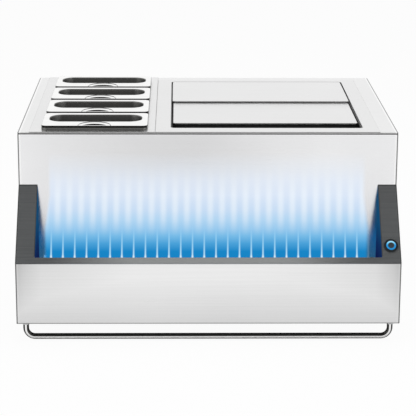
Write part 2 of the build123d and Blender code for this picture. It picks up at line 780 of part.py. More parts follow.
# Rail floor with the back flange that bolts to the cabinet
with BuildPart() as rail_floor:
    with BuildSketch(Plane.XY.offset(z_base)):
        with Locations((0, (y_front + sheet + y_body) / 2)):
            Rectangle(2 * inner_half, rail_depth - sheet)
        with Locations((-towel_x, towel_y), (towel_x, towel_y)):
            Circle(towel_rod_radius + bolt_clearance, mode=Mode.SUBTRACT)
    extrude(amount=sheet)
    with BuildSketch(facing_front(y_body)):
        with Locations((0, z_base + sheet + rail_back_flange / 2)):
            Rectangle(2 * arm_inner, rail_back_flange)
        with Locations(*[(x, z_rail_bolt) for x in rail_bolt_xs]):
            Circle(rail_bolt_radius + bolt_clearance, mode=Mode.SUBTRACT)
    extrude(amount=sheet)
rail_floor.part.label = "rail_floor"
export_step(rail_floor.part, "parts/rail_floor.step")

# Arm walls: the outer cheeks flush with the cabinet, and the dark inner walls at the ends of the trough
for side_name, side in (("left", -1), ("right", 1)):
    with BuildPart() as cheek:
        with BuildSketch(Plane.YZ.offset(side * inner_half)):
            with BuildLine():
                Polyline(
                    (y_front + sheet, z_base),
                    (y_body, z_base),
                    (y_body, z_arm_top - trim_drop),
                    (y_front + sheet, slope_height(y_front + sheet) - trim_drop),
                    close=True,
                )
            make_face()
        extrude(amount=side * sheet)
    cheek.part.label = f"rail_{side_name}_cheek"
    export_step(cheek.part, f"parts/rail_{side_name}_cheek.step")
    with BuildPart() as inner_wall:
        with BuildSketch(Plane.YZ.offset(side * arm_inner)):
            with BuildLine():
                Polyline(
                    (y_front + sheet, z_base + sheet),
                    (y_body, z_base + sheet),
                    (y_body, z_arm_top - trim_drop),
                    (y_front + sheet, slope_height(y_front + sheet) - trim_drop),
                    close=True,
                )
            make_face()
        extrude(amount=side * sheet)
    inner_wall.part.label = f"rail_{side_name}_inner_wall"
    export_step(inner_wall.part, f"parts/rail_{side_name}_inner_wall.step")

# Rail trim: the dark U of two sloped arm tops and a narrow front bar
with BuildPart() as rail_trim:
    with BuildSketch(Plane.YZ.offset(-body_width / 2)):
        with BuildLine():
            Polyline(
                (y_front, z_rail_top),
                (y_body, z_arm_top),
                (y_body, z_arm_top - trim_drop),
                (y_front, z_rail_top - trim_drop),
                close=True,
            )
        make_face()
    extrude(amount=body_width)
    with BuildSketch(Plane.XY.offset(z_rail_top - trim_drop)):
        with Locations((0, y_front + trim_bar * slope_cos)):
            Rectangle(2 * arm_inner, rail_depth, align=(Align.CENTER, Align.MIN))
    extrude(amount=slope_rise + 2 * trim_drop, mode=Mode.SUBTRACT)
    with BuildSketch(slope_plane):
        with Locations((arm_middle, switch_from_front)):
            Circle(switch_barrel_radius + bolt_clearance)
    extrude(amount=2 * trim_drop, both=True, mode=Mode.SUBTRACT)
rail_trim.part.label = "rail_trim"
export_step(rail_trim.part, "parts/rail_trim.step")

# Bolts and nuts that hold the rail on the cabinet
with BuildPart() as rail_bolts:
    with BuildSketch(facing_front(y_body - sheet)):
        with Locations(*[(x, z_rail_bolt) for x in rail_bolt_xs]):
            Circle(rail_bolt_head_radius)
    extrude(amount=rail_bolt_head)
    with BuildSketch(facing_front(y_body - sheet)):
        with Locations(*[(x, z_rail_bolt) for x in rail_bolt_xs]):
            Circle(rail_bolt_radius)
    extrude(amount=-(2 * sheet + rail_nut_thickness + rail_bolt_radius))
rail_bolts.part.label = "rail_bolts"
export_step(rail_bolts.part, "parts/rail_bolts.step")

with BuildPart() as rail_nuts:
    with BuildSketch(facing_front(y_body + sheet)):
        with Locations(*[(x, z_rail_bolt) for x in rail_bolt_xs]):
            RegularPolygon(rail_nut_radius, 6)
            Circle(rail_bolt_radius + bolt_clearance / 2, mode=Mode.SUBTRACT)
    extrude(amount=-rail_nut_thickness)
rail_nuts.part.label = "rail_nuts"
export_step(rail_nuts.part, "parts/rail_nuts.step")

# Light bar: an open channel on the front panel, a board with its chips, and a clear strip on top
led_xs = [led_x + (i - (led_count - 1) / 2) * led_pitch for i in range(led_count)]
led_inner_depth = led_channel_depth - 2 * led_channel_wall - 2 * led_fit_gap
z_led_board = z_led_base + led_channel_wall
with BuildPart() as led_channel:
    with BuildSketch(Plane.XY.offset(z_led_base)):
        with Locations((led_x, led_y)):
            Rectangle(led_channel_length, led_channel_depth)
    extrude(amount=led_channel_height)
    with BuildSketch(Plane.XY.offset(z_led_board)):
        with Locations((led_x, led_y)):
            Rectangle(
                led_channel_length - 2 * led_channel_wall, led_channel_depth - 2 * led_channel_wall
            )
    extrude(amount=led_channel_height, mode=Mode.SUBTRACT)
led_channel.part.label = "led_channel"
export_step(led_channel.part, "parts/led_channel.step")

with BuildPart() as led_board:
    with BuildSketch(Plane.XY.offset(z_led_board)):
        with Locations((led_x, led_y)):
            Rectangle(led_channel_length - 2 * led_channel_wall - 2 * led_fit_gap, led_inner_depth)
    extrude(amount=led_board_thickness)
led_board.part.label = "led_board"
export_step(led_board.part, "parts/led_board.step")

with BuildPart() as led_chips:
    with BuildSketch(Plane.XY.offset(z_led_board + led_board_thickness)):
        with Locations(*[(x, led_y) for x in led_xs]):
            Rectangle(led_chip_size, led_chip_size)
    extrude(amount=led_chip_height)
led_chips.part.label = "led_chips"
export_step(led_chips.part, "parts/led_chips.step")

with BuildPart() as led_lens:
    with BuildSketch(Plane.XY.offset(z_led_top - led_lens_thickness)):
        with Locations((led_x, led_y)):
            Rectangle(led_channel_length - 2 * led_channel_wall - 2 * led_fit_gap, led_inner_depth)
    extrude(amount=led_lens_thickness)
led_lens.part.label = "led_lens"
export_step(led_lens.part, "parts/led_lens.step")

# Push button: bezel with its barrel, lit ring, moving cap and the nut under the trim
switch_axis = Axis(slope_plane.origin, slope_plane.z_dir)
switch_face = slope_plane.offset(switch_bezel_height)
with BuildPart() as switch_bezel:
    with BuildSketch(slope_plane):
        with Locations(switch_point):
            Circle(switch_bezel_radius)
    extrude(amount=switch_bezel_height)
    chamfer(switch_bezel.faces().sort_by(switch_axis)[-1].edges(), switch_bezel_height / 3)
    with BuildSketch(slope_plane):
        with Locations(switch_point):
            Circle(switch_barrel_radius)
    extrude(amount=-switch_barrel_length)
    with BuildSketch(slope_plane.offset(-switch_barrel_length)):
        with Locations(switch_point):
            Circle(switch_terminal_radius)
    extrude(amount=-switch_terminal_length)
    with BuildSketch(switch_face):
        with Locations(switch_point):
            Circle(switch_ring_radius)
    extrude(amount=-switch_ring_depth, mode=Mode.SUBTRACT)
    with BuildSketch(switch_face):
        with Locations(switch_point):
            Circle(button_radius + button_clearance)
    extrude(amount=-(button_height + button_travel_room), mode=Mode.SUBTRACT)
switch_bezel.part.label = "switch_bezel"
export_step(switch_bezel.part, "parts/switch_bezel.step")

with BuildPart() as switch_ring:
    with BuildSketch(switch_face.offset(-switch_ring_depth)):
        with Locations(switch_point):
            Circle(switch_ring_radius - switch_ring_gap)
            Circle(button_radius + button_clearance, mode=Mode.SUBTRACT)
    extrude(amount=switch_ring_depth + switch_ring_proud)
switch_ring.part.label = "switch_ring"
export_step(switch_ring.part, "parts/switch_ring.step")

with BuildPart() as light_button:
    with BuildSketch(switch_face.offset(button_proud)):
        with Locations(switch_point):
            Circle(button_radius)
    extrude(amount=-button_height)
    fillet(light_button.faces().sort_by(switch_axis)[-1].edges(), button_edge)
light_button.part.label = "light_button"
export_step(light_button.part, "parts/light_button.step")

with BuildPart() as switch_nut:
    with BuildSketch(slope_plane.offset(-trim_thickness)):
        with Locations(switch_point):
            RegularPolygon(switch_nut_radius, 6)
            Circle(switch_barrel_radius + bolt_clearance / 2, mode=Mode.SUBTRACT)
    extrude(amount=-switch_nut_thickness)
switch_nut.part.label = "switch_nut"
export_step(switch_nut.part, "parts/switch_nut.step")

# Light driver on the base pan, with its two screws
with BuildPart() as led_driver:
    with BuildSketch(Plane.XY.offset(z_driver)):
        with Locations((driver_x, driver_front)):
            Rectangle(driver_width, driver_length, align=(Align.CENTER, Align.MIN))
    extrude(amount=driver_height)
    with BuildSketch(Plane.XY.offset(z_driver)):
        with Locations((driver_x, driver_front + driver_length / 2)):
            Rectangle(driver_width, driver_length + 2 * driver_ear)
        with Locations(*driver_screw_points):
            Circle(driver_screw_radius + bolt_clearance, mode=Mode.SUBTRACT)
    extrude(amount=driver_ear_thickness)
led_driver.part.label = "led_driver"
export_step(led_driver.part, "parts/led_driver.step")

with BuildPart() as driver_screws:
    with BuildSketch(Plane.XY.offset(z_driver + driver_ear_thickness)):
        with Locations(*driver_screw_points):
            Circle(driver_screw_head_radius)
    extrude(amount=driver_screw_head)
    with BuildSketch(Plane.XY.offset(z_base)):
        with Locations(*driver_screw_points):
            Circle(driver_screw_radius)
    extrude(amount=sheet + driver_ear_thickness)
driver_screws.part.label = "driver_screws"
export_step(driver_screws.part, "parts/driver_screws.step")

# Power inlet: a round panel socket for a low-voltage plug, with its locknut
with BuildPart() as power_inlet:
    with BuildSketch(facing_front(y_rear)):
        with Locations((inlet_x, z_inlet)):
            Circle(inlet_flange_radius)
    extrude(amount=-inlet_flange_thickness)
    with BuildSketch(facing_front(y_rear)):
        with Locations((inlet_x, z_inlet)):
            Circle(inlet_barrel_radius)
    extrude(amount=inlet_barrel_length)
    with BuildSketch(facing_front(y_rear + inlet_flange_thickness)):
        with Locations((inlet_x, z_inlet)):
            Circle(inlet_bore_radius)
    extrude(amount=inlet_bore_depth, mode=Mode.SUBTRACT)
power_inlet.part.label = "power_inlet"
export_step(power_inlet.part, "parts/power_inlet.step")

with BuildPart() as inlet_nut:
    with BuildSketch(facing_front(y_rear - sheet)):
        with Locations((inlet_x, z_inlet)):
            RegularPolygon(inlet_nut_radius, 6)
            Circle(inlet_barrel_radius + bolt_clearance / 2, mode=Mode.SUBTRACT)
    extrude(amount=inlet_nut_thickness)
inlet_nut.part.label = "inlet_nut"
export_step(inlet_nut.part, "parts/inlet_nut.step")

# Inner cables: light bar to driver, switch to driver, inlet to driver
cable_back = y_body + sheet + cable_behind_panel
led_entry = driver_x - driver_width / 4
switch_entry = driver_x + driver_width / 4
driver_back = driver_front + driver_length
cable_routes = {
    "led_cable": [
        (led_end_x, led_y, z_led_cable),
        (led_grommet_x, led_y, z_led_cable),
        (led_grommet_x, cable_back, z_led_cable),
        (led_entry, driver_front - cable_lead, z_driver_cable),
        (led_entry, driver_front, z_driver_cable),
    ],
    "switch_cable": [
        tuple(switch_tail),
        tuple(switch_turn),
        (arm_middle, cable_back, z_switch_grommet),
        (switch_entry, driver_front - cable_lead, z_driver_cable),
        (switch_entry, driver_front, z_driver_cable),
    ],
    "inlet_cable": [
        (driver_x, driver_back, z_driver_cable),
        (driver_x, driver_back + cable_lead, z_driver_cable),
        (driver_x, y_rear - inlet_barrel_length - cable_lead, z_inlet),
        (driver_x, y_rear - inlet_barrel_length, z_inlet),
    ],
}
for cable_name, route in cable_routes.items():
    bends = [cable_bend_radius] * (len(route) - 2)
    if cable_name == "led_cable":
        bends[0] = led_cable_first_bend
    with BuildPart() as cable:
        with BuildLine() as path:
            FilletPolyline(*route, radius=bends)
        with BuildSketch(Plane(origin=path.line @ 0, z_dir=path.line % 0)):
            Circle(cable_radius)
        sweep()
    cable.part.label = cable_name
    export_step(cable.part, f"parts/{cable_name}.step")

# Grommets where the two cables pass the front panel
grommet_points = [(led_grommet_x, z_led_cable), (arm_middle, z_switch_grommet)]
with BuildPart() as cable_grommets:
    for face_y in (y_body, y_body + sheet + grommet_flange_thickness):
        with BuildSketch(facing_front(face_y)):
            with Locations(*grommet_points):
                Circle(grommet_flange_radius)
        extrude(amount=grommet_flange_thickness)
    with BuildSketch(facing_front(y_body + sheet)):
        with Locations(*grommet_points):
            Circle(grommet_neck_radius)
    extrude(amount=sheet)
    with BuildSketch(facing_front(y_body + sheet + grommet_flange_thickness)):
        with Locations(*grommet_points):
            Circle(cable_radius + bolt_clearance / 2)
    extrude(amount=sheet + 2 * grommet_flange_thickness, mode=Mode.SUBTRACT)
cable_grommets.part.label = "cable_grommets"
export_step(cable_grommets.part, "parts/cable_grommets.step")

# Towel bar: one bent rod, its ends through the rail floor between pairs of nuts
z_towel_end = z_base + sheet + towel_stud_above_floor
with BuildPart() as towel_bar:
    with BuildLine() as towel_path:
        FilletPolyline(
            (-towel_x, towel_y, z_towel_end),
            (-towel_x, towel_y, z_towel),
            (towel_x, towel_y, z_towel),
            (towel_x, towel_y, z_towel_end),
            radius=towel_bend_radius,
        )
    with BuildSketch(Plane(origin=towel_path.line @ 0, z_dir=towel_path.line % 0)):
        Circle(towel_rod_radius)
    sweep()
towel_bar.part.label = "towel_bar"
export_step(towel_bar.part, "parts/towel_bar.step")

with BuildPart() as towel_bar_nuts:
    for nut_z, nut_thickness in (
        (z_base - towel_jam_nut, towel_jam_nut),
        (z_base + sheet, towel_nut_thickness),
    ):
        with BuildSketch(Plane.XY.offset(nut_z)):
            with Locations((-towel_x, towel_y), (towel_x, towel_y)):
                RegularPolygon(towel_nut_radius, 6)
                Circle(towel_rod_radius + bolt_clearance / 2, mode=Mode.SUBTRACT)
        extrude(amount=nut_thickness)
towel_bar_nuts.part.label = "towel_bar_nuts"
export_step(towel_bar_nuts.part, "parts/towel_bar_nuts.step")

# Levelling feet and the nuts that carry the base pan
with BuildPart() as levelling_feet:
    with BuildSketch(Plane.XY):
        with Locations(*foot_points):
            Circle(foot_pad_radius)
    extrude(amount=foot_pad_thickness)
    with BuildSketch(Plane.XY.offset(foot_pad_thickness)):
        with Locations(*foot_points):
            Circle(foot_stud_radius)
    extrude(amount=z_base + sheet + foot_stud_above_base - foot_pad_thickness)
levelling_feet.part.label = "levelling_feet"
export_step(levelling_feet.part, "parts/levelling_feet.step")

with BuildPart() as foot_nuts:
    with BuildSketch(Plane.XY.offset(z_base - foot_nut_thickness)):
        with Locations(*foot_points):
            RegularPolygon(foot_nut_radius, 6)
            Circle(foot_stud_radius + bolt_clearance / 2, mode=Mode.SUBTRACT)
    extrude(amount=foot_nut_thickness)
foot_nuts.part.label = "foot_nuts"
export_step(foot_nuts.part, "parts/foot_nuts.step")
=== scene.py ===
"""Looks of the beverage center: brushed steel cabinet, polished pans, charcoal rail trim, and a blue wash of
light painted on the front panel."""
import json
import math

import bmesh
import bpy
from mathutils import Matrix, Vector


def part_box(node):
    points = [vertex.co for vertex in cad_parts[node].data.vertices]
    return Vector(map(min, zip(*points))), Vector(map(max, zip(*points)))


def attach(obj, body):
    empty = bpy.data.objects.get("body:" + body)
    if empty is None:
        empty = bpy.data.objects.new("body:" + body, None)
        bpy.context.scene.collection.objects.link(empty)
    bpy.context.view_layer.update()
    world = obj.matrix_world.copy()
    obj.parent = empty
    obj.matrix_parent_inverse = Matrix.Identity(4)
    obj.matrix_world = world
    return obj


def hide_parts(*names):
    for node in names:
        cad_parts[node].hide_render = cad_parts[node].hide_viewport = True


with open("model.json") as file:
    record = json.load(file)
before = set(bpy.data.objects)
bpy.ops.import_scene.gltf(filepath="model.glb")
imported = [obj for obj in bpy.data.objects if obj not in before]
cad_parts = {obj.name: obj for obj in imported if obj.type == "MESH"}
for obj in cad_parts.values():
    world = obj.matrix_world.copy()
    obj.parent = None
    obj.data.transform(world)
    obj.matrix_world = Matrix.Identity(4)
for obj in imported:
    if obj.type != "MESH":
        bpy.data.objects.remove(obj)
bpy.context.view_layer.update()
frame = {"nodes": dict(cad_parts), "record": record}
scene = bpy.context.scene
MM = 0.001

body_of = {}
for body, members in frame["record"]["behaviour"]["bodies"].items():
    for node in members:
        body_of[node] = body

# Places that the finishes share with the CAD: the row of lights, and the top of the bar that carries them
led_low, led_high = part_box("led_chips")
led_count = 27
led_side = 5 * MM
led_pitch = (led_high.x - led_low.x - led_side) / (led_count - 1)
first_led_x = led_low.x + led_side / 2
last_led_x = led_high.x - led_side / 2
led_y = (led_low.y + led_high.y) / 2
light_bar_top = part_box("led_lens")[1].z


def srgb(code):
    """Linear colour of an sRGB hex value."""
    parts = [int(code[k:k + 2], 16) / 255 for k in (1, 3, 5)]
    return [p / 12.92 if p <= 0.04045 else ((p + 0.055) / 1.055) ** 2.4 for p in parts] + [1.0]


pure_white = srgb("#FFFFFF")
pure_black = srgb("#000000")
# Grey of the painted shade on edges, folds and the rail's lower hem
edge_shade_grey = srgb("#4A4A4A")


def fill(tree, node, links):
    """Fills a node's inputs with sockets, with nodes, which give their first live output, or with values."""
    for socket, value in links.items():
        if isinstance(value, bpy.types.Node):
            value = next(output for output in value.outputs if output.enabled)
        if isinstance(value, bpy.types.NodeSocket):
            tree.links.new(value, node.inputs[socket])
        else:
            node.inputs[socket].default_value = value


def add(tree, kind, links=None, **settings):
    """One node: settings are its own properties, and links fill its inputs."""
    node = tree.nodes.new(kind)
    for name, value in settings.items():
        setattr(node, name, value)
    fill(tree, node, links or {})
    return node


def set_stops(ramp, stops):
    """Colour stops of a ramp, as (place, hex colour)."""
    elements = ramp.color_ramp.elements
    while len(elements) < len(stops):
        elements.new(0.5)
    for element, (place, code) in zip(elements, stops):
        element.position = place
        element.color = srgb(code)


def start_material(name, **values):
    """A new material with its shader's constant values set, and the Object coordinates it reads."""
    material = bpy.data.materials.new(name)
    material.use_nodes = True
    tree = material.node_tree
    shader = tree.nodes["Principled BSDF"]
    for socket, value in values.items():
        shader.inputs[socket.replace("_", " ")].default_value = value
    place = add(tree, "ShaderNodeTexCoord").outputs["Object"]
    return material, tree, shader, place


def brush_lines(tree, place, along, line_mm, run_mm):
    """Streaks of a brushed sheet: noise drawn out along one axis."""
    scale = [1 / (line_mm * MM)] * 3
    scale["XYZ".index(along)] = 1 / (run_mm * MM)
    drawn_out = add(tree, "ShaderNodeMapping", {"Vector": place, "Scale": scale})
    return add(
        tree, "ShaderNodeTexNoise", {"Vector": drawn_out, "Scale": 1.0, "Detail": 3.0, "Roughness": 0.6}
    )


def finish_brushed(tree, steel, place, along, dark, pale, rough_low=0.27, rough_high=0.36):
    """Brush lines in tone, gloss and relief. Returns the tone, which some sheets go on to change."""
    # Real lines are 0.1 mm apart; they are drawn at 2 mm so that they show at this size
    lines = brush_lines(tree, place, along, line_mm=2.0, run_mm=260.0)
    tone = add(tree, "ShaderNodeValToRGB", {"Fac": lines})
    set_stops(tone, [(0.3, dark), (0.7, pale)])
    clouds = add(tree, "ShaderNodeTexNoise", {"Vector": place, "Scale": 1 / (180 * MM), "Detail": 2.0})
    uneven = add(tree, "ShaderNodeMath", {0: lines, 1: clouds}, operation="ADD")
    gloss = add(
        tree, "ShaderNodeMapRange",
        {"Value": uneven, "From Min": 0.6, "From Max": 1.4, "To Min": rough_low, "To Max": rough_high},
    )
    relief = add(tree, "ShaderNodeBump", {"Height": lines, "Strength": 0.05, "Distance": 0.2 * MM})

    # Painted shade: bent and sheared edges, where the faces turn off the sheet's axes, are painted a darker
    # grey
    facing = add(tree, "ShaderNodeTexCoord").outputs["Normal"]
    upright = add(tree, "ShaderNodeVectorMath", {0: facing}, operation="ABSOLUTE")
    part = add(tree, "ShaderNodeSeparateXYZ", {"Vector": upright})
    widest = add(tree, "ShaderNodeMath", {0: part.outputs["X"], 1: part.outputs["Y"]}, operation="MAXIMUM")
    square_on = add(tree, "ShaderNodeMath", {0: widest, 1: part.outputs["Z"]}, operation="MAXIMUM")
    edge = add(
        tree, "ShaderNodeMapRange", {"Value": square_on, "From Min": 0.985, "From Max": 0.9, "To Max": 0.75}
    )
    toned = add(tree, "ShaderNodeMix", {"Factor": edge, 6: tone, 7: edge_shade_grey}, data_type="RGBA")
    fill(tree, steel, {"Base Color": toned, "Roughness": gloss, "Normal": relief})
    return toned


def fold_lines(tree, place, tone, half_width, shine=0.9):
    """Paints the look of a fold along a sheet's sides into its tone: a painted shade line at the bend and a
    painted highlight inside it.
    """
    at = add(tree, "ShaderNodeSeparateXYZ", {"Vector": place})
    out = add(tree, "ShaderNodeMath", {0: at.outputs["X"]}, operation="ABSOLUTE")
    inwards = add(tree, "ShaderNodeMath", {0: half_width, 1: out}, operation="SUBTRACT")
    line = add(
        tree, "ShaderNodeMapRange",
        {"Value": inwards, "From Min": 3.0 * MM, "From Max": 1.8 * MM, "To Max": 0.85},
    )
    bright = add(
        tree, "ShaderNodeMapRange",
        {"Value": inwards, "From Min": 7.0 * MM, "From Max": 4.0 * MM, "To Max": shine},
        interpolation_type="SMOOTHSTEP",
    )
    # Painted highlight inside the fold, then the painted shade line at the bend
    highlighted_tone = add(tree, "ShaderNodeMix", {"Factor": bright, 6: tone, 7: pure_white}, data_type="RGBA")
    return add(tree, "ShaderNodeMix", {"Factor": line, 6: highlighted_tone, 7: edge_shade_grey}, data_type="RGBA")


def brushed_stainless(name, along):
    """Stainless sheet brushed along one axis: a soft grey mirror with faint parallel lines."""
    material, tree, steel, place = start_material(name, Metallic=1.0)
    finish_brushed(tree, steel, place, along, "#E4E4E4", "#EBEBEB")
    return material


def deck_stainless():
    """The deck's brushed sheet, with a painted shade line and a painted highlight along its two sides for the
    look of a fold.
    """
    material, tree, steel, place = start_material("stainless_brushed_deck", Metallic=1.0)
    tone = finish_brushed(tree, steel, place, "X", "#E8E8E8", "#EFEFEF")
    folded = fold_lines(tree, place, tone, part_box("top_deck")[1].x)
    fill(tree, steel, {"Base Color": folded})
    return material


def rail_front_stainless():
    """The rail's front sheet: brushed as the rest, with painted shade darkening it towards its folded ends
    and its lower edge, painted fold lines along its sides, and a painted shade line along its lower fold."""
    material, tree, steel, place = start_material(
        "stainless_brushed_rail_front", Metallic=1.0, Anisotropic=0.5, Anisotropic_Rotation=0.25
    )
    tone = finish_brushed(tree, steel, place, "X", "#F0F0F0", "#F6F6F6")
    low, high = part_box("rail_front_panel")
    # Painted shade: the sheet is painted darker towards both ends and towards its lower edge
    at = add(tree, "ShaderNodeSeparateXYZ", {"Vector": place})
    out = add(tree, "ShaderNodeMath", {0: at.outputs["X"]}, operation="ABSOLUTE")
    across = add(tree, "ShaderNodeMath", {0: out, 1: high.x}, operation="DIVIDE")
    ends = add(tree, "ShaderNodeValToRGB", {"Fac": across})
    set_stops(ends, [
        (0.39, "#000000"), (0.66, "#656565"), (0.866, "#8E8E8E"), (0.957, "#C4C4C4"), (0.985, "#DCDCDC"),
    ])
    upper = add(
        tree, "ShaderNodeMapRange",
        {"Value": at.outputs["Z"], "From Min": low.z, "From Max": high.z, "To Min": 0.3, "To Max": 1.0},
    )
    shaded_ends = add(tree, "ShaderNodeMath", {0: ends, 1: upper}, operation="MULTIPLY")
    unshaded_top = high.z - 30 * MM
    lower = add(
        tree, "ShaderNodeMapRange",
        {"Value": at.outputs["Z"], "From Min": low.z, "From Max": unshaded_top, "To Min": 0.4, "To Max": 0.0},
    )
    painted_shade = add(tree, "ShaderNodeMath", {0: shaded_ends, 1: lower}, operation="MAXIMUM")
    painted_light_and_shade = add(tree, "ShaderNodeMix", {"Factor": painted_shade, 6: tone, 7: srgb("#AFAFAF")}, data_type="RGBA")
    folded = fold_lines(tree, place, painted_light_and_shade, high.x, shine=0.15)
    # Painted shade line along the lower fold
    hem = add(
        tree, "ShaderNodeMapRange",
        {"Value": at.outputs["Z"], "From Min": low.z + 2.6 * MM, "From Max": low.z + 1.2 * MM, "To Max": 0.7},
    )
    hem_shaded = add(tree, "ShaderNodeMix", {"Factor": hem, 6: folded, 7: edge_shade_grey}, data_type="RGBA")
    fill(tree, steel, {"Base Color": hem_shaded})
    return material


def wash_share(tree, at, rise, above):
    """How far the painted wash of light, with painted shade under it, covers the sheet: fully low down, less
    with height and past its ends.
    """
    # The wash meets the mirrored end walls low down and draws in higher up
    drawn_in = add(
        tree, "ShaderNodeMapRange", {"Value": rise, "From Min": 0.28, "From Max": 0.6, "To Max": 11 * MM}
    )
    from_left = add(tree, "ShaderNodeMath", {0: at.outputs["X"], 1: drawn_in}, operation="SUBTRACT")
    from_right = add(tree, "ShaderNodeMath", {0: at.outputs["X"], 1: drawn_in}, operation="ADD")
    left_end = add(
        tree, "ShaderNodeMapRange",
        {"Value": from_left, "From Min": first_led_x - 15 * MM, "From Max": first_led_x - 7 * MM},
        interpolation_type="SMOOTHSTEP",
    )
    right_end = add(
        tree, "ShaderNodeMapRange",
        {"Value": from_right, "From Min": last_led_x + 26 * MM, "From Max": last_led_x + 15 * MM},
        interpolation_type="SMOOTHSTEP",
    )
    between = add(tree, "ShaderNodeMath", {0: left_end, 1: right_end}, operation="MULTIPLY")
    within = add(tree, "ShaderNodeMath", {0: between, 1: above}, operation="MULTIPLY")
    hiding = add(tree, "ShaderNodeValToRGB", {"Fac": rise})
    set_stops(hiding, [
        (0.0, "#FFFFFF"), (0.28, "#FFFFFF"), (0.45, "#F8F8F8"), (0.6, "#F0F0F0"), (0.73, "#DADADA"),
        (0.86, "#9A9A9A"), (1.0, "#000000"),
    ])
    return add(tree, "ShaderNodeMath", {0: hiding, 1: within}, operation="MULTIPLY")


def wash_colour(tree, at, rise):
    """Colour of the painted wash of light: blue low down and paler with height, with a thin bright core over
    each light.
    """
    # The streaks lean to the middle by 2 mm in 62 mm at the ends of the row
    lean = add(tree, "ShaderNodeMath", {0: rise, 1: 0.0225, 2: 1.0}, operation="MULTIPLY_ADD")
    upright_x = add(tree, "ShaderNodeMath", {0: at.outputs["X"], 1: lean}, operation="MULTIPLY")
    from_first = add(tree, "ShaderNodeMath", {0: upright_x, 1: first_led_x}, operation="SUBTRACT")
    beside = add(tree, "ShaderNodeMath", {0: from_first, 1: led_pitch / 2}, operation="PINGPONG")

    over_light = add(tree, "ShaderNodeValToRGB", {"Fac": rise})
    set_stops(over_light, [
        (0.0, "#1883C4"), (0.06, "#1986C7"), (0.137, "#4BA2D9"), (0.21, "#76BAE7"), (0.28, "#9ACAEE"),
        (0.36, "#B1D6F3"), (0.46, "#C8DEF6"), (0.6, "#DBE8FA"), (0.75, "#E1ECFC"), (1.0, "#E6F0FD"),
    ])
    midway = add(tree, "ShaderNodeValToRGB", {"Fac": rise})
    set_stops(midway, [
        (0.0, "#1883C4"), (0.06, "#1986C7"), (0.137, "#4BA2D9"), (0.21, "#79BCE7"), (0.28, "#A6D0EF"),
        (0.36, "#C8E1F6"), (0.46, "#DEECFA"), (0.6, "#E8F2FE"), (0.75, "#E6F0FD"), (1.0, "#E6F0FD"),
    ])
    column = add(
        tree, "ShaderNodeMapRange",
        {"Value": beside, "From Min": led_pitch * 0.08, "From Max": led_pitch * 0.46},
        interpolation_type="SMOOTHSTEP",
    )
    blue = add(tree, "ShaderNodeMix", {"Factor": column, 6: over_light, 7: midway}, data_type="RGBA")

    core_width = add(
        tree, "ShaderNodeMapRange",
        {"Value": rise, "From Min": 0.0, "From Max": 0.03, "To Min": 3.6 * MM, "To Max": 2.7 * MM},
    )
    core = add(
        tree, "ShaderNodeMapRange", {"Value": beside, "From Min": core_width, "From Max": 0.0},
        interpolation_type="SMOOTHSTEP",
    )
    fading = add(tree, "ShaderNodeValToRGB", {"Fac": rise})
    set_stops(fading, [
        (0.0, "#FFFFFF"), (0.1, "#F0F0F0"), (0.2, "#C0C0C0"), (0.26, "#707070"), (0.32, "#000000"),
    ])
    streak = add(tree, "ShaderNodeMath", {0: core, 1: fading}, operation="MULTIPLY")
    core_tone = add(tree, "ShaderNodeValToRGB", {"Fac": rise})
    set_stops(core_tone, [(0.0, "#E6F7FF"), (0.03, "#BCE6FB"), (0.1, "#A8DCF7"), (0.3, "#A6DAF8")])
    return add(tree, "ShaderNodeMix", {"Factor": streak, 6: blue, 7: core_tone}, data_type="RGBA")


def lit_brushed_stainless():
    """Brushed sheet above the light bar, with the lights' glow painted on it as emission: a thin bright
    streak up the brushing over each light, in a blue wash that pales with height, until the plain steel is
    left."""
    material, tree, steel, place = start_material(
        "stainless_brushed_lit_by_light_bar", Metallic=1.0, Anisotropic=0.95, Anisotropic_Rotation=0.25
    )
    tone = finish_brushed(tree, steel, place, "X", "#F1F1F2", "#F7F7F8", 0.17, 0.25)
    at = add(tree, "ShaderNodeSeparateXYZ", {"Vector": place})
    # Painted shade: the sheet is painted darker in a broad patch left of the middle
    patch_to_left = 90 * MM
    off_patch = add(tree, "ShaderNodeMath", {0: at.outputs["X"], 1: patch_to_left}, operation="ADD")
    reach = add(tree, "ShaderNodeMath", {0: off_patch}, operation="ABSOLUTE")
    shade_patch = add(
        tree, "ShaderNodeMapRange",
        {"Value": reach, "From Min": 60 * MM, "From Max": 330 * MM, "To Min": 0.6, "To Max": 0.0},
        interpolation_type="SMOOTHSTEP",
    )
    patch_shaded = add(tree, "ShaderNodeMix", {"Factor": shade_patch, 6: tone, 7: srgb("#D9D9DA")}, data_type="RGBA")
    plain = fold_lines(tree, place, patch_shaded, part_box("front_panel")[1].x)

    wash_height = 220 * MM
    rise = add(
        tree, "ShaderNodeMapRange",
        {"Value": at.outputs["Z"], "From Min": light_bar_top, "From Max": light_bar_top + wash_height},
    )
    # The lights face up, so the sheet under them stays dark
    above = add(
        tree, "ShaderNodeMapRange",
        {"Value": at.outputs["Z"], "From Min": light_bar_top - 6 * MM, "From Max": light_bar_top - 1 * MM},
    )
    wash = wash_share(tree, at, rise, above)
    light = wash_colour(tree, at, rise)
    # Painted light: past the ends of the row a weaker blue is painted on the sheet beside the end walls
    spill = add(tree, "ShaderNodeValToRGB", {"Fac": rise})
    set_stops(spill, [(0.0, "#24546B"), (0.1, "#125070"), (0.2, "#004A71"), (0.35, "#000000")])
    spilt = add(tree, "ShaderNodeMix", {"Factor": above, 6: pure_black, 7: spill}, data_type="RGBA")
    glow = add(tree, "ShaderNodeMix", {"Factor": wash, 6: spilt, 7: light}, data_type="RGBA")
    # Painted shade: under the wash the sheet's own tone is painted near black, and the painted light is its
    # emission
    wash_shaded_base = add(tree, "ShaderNodeMix", {"Factor": wash, 6: plain, 7: srgb("#03080E")}, data_type="RGBA")
    fill(tree, steel, {"Base Color": wash_shaded_base, "Emission Color": glow, "Emission Strength": 1.0})
    return material


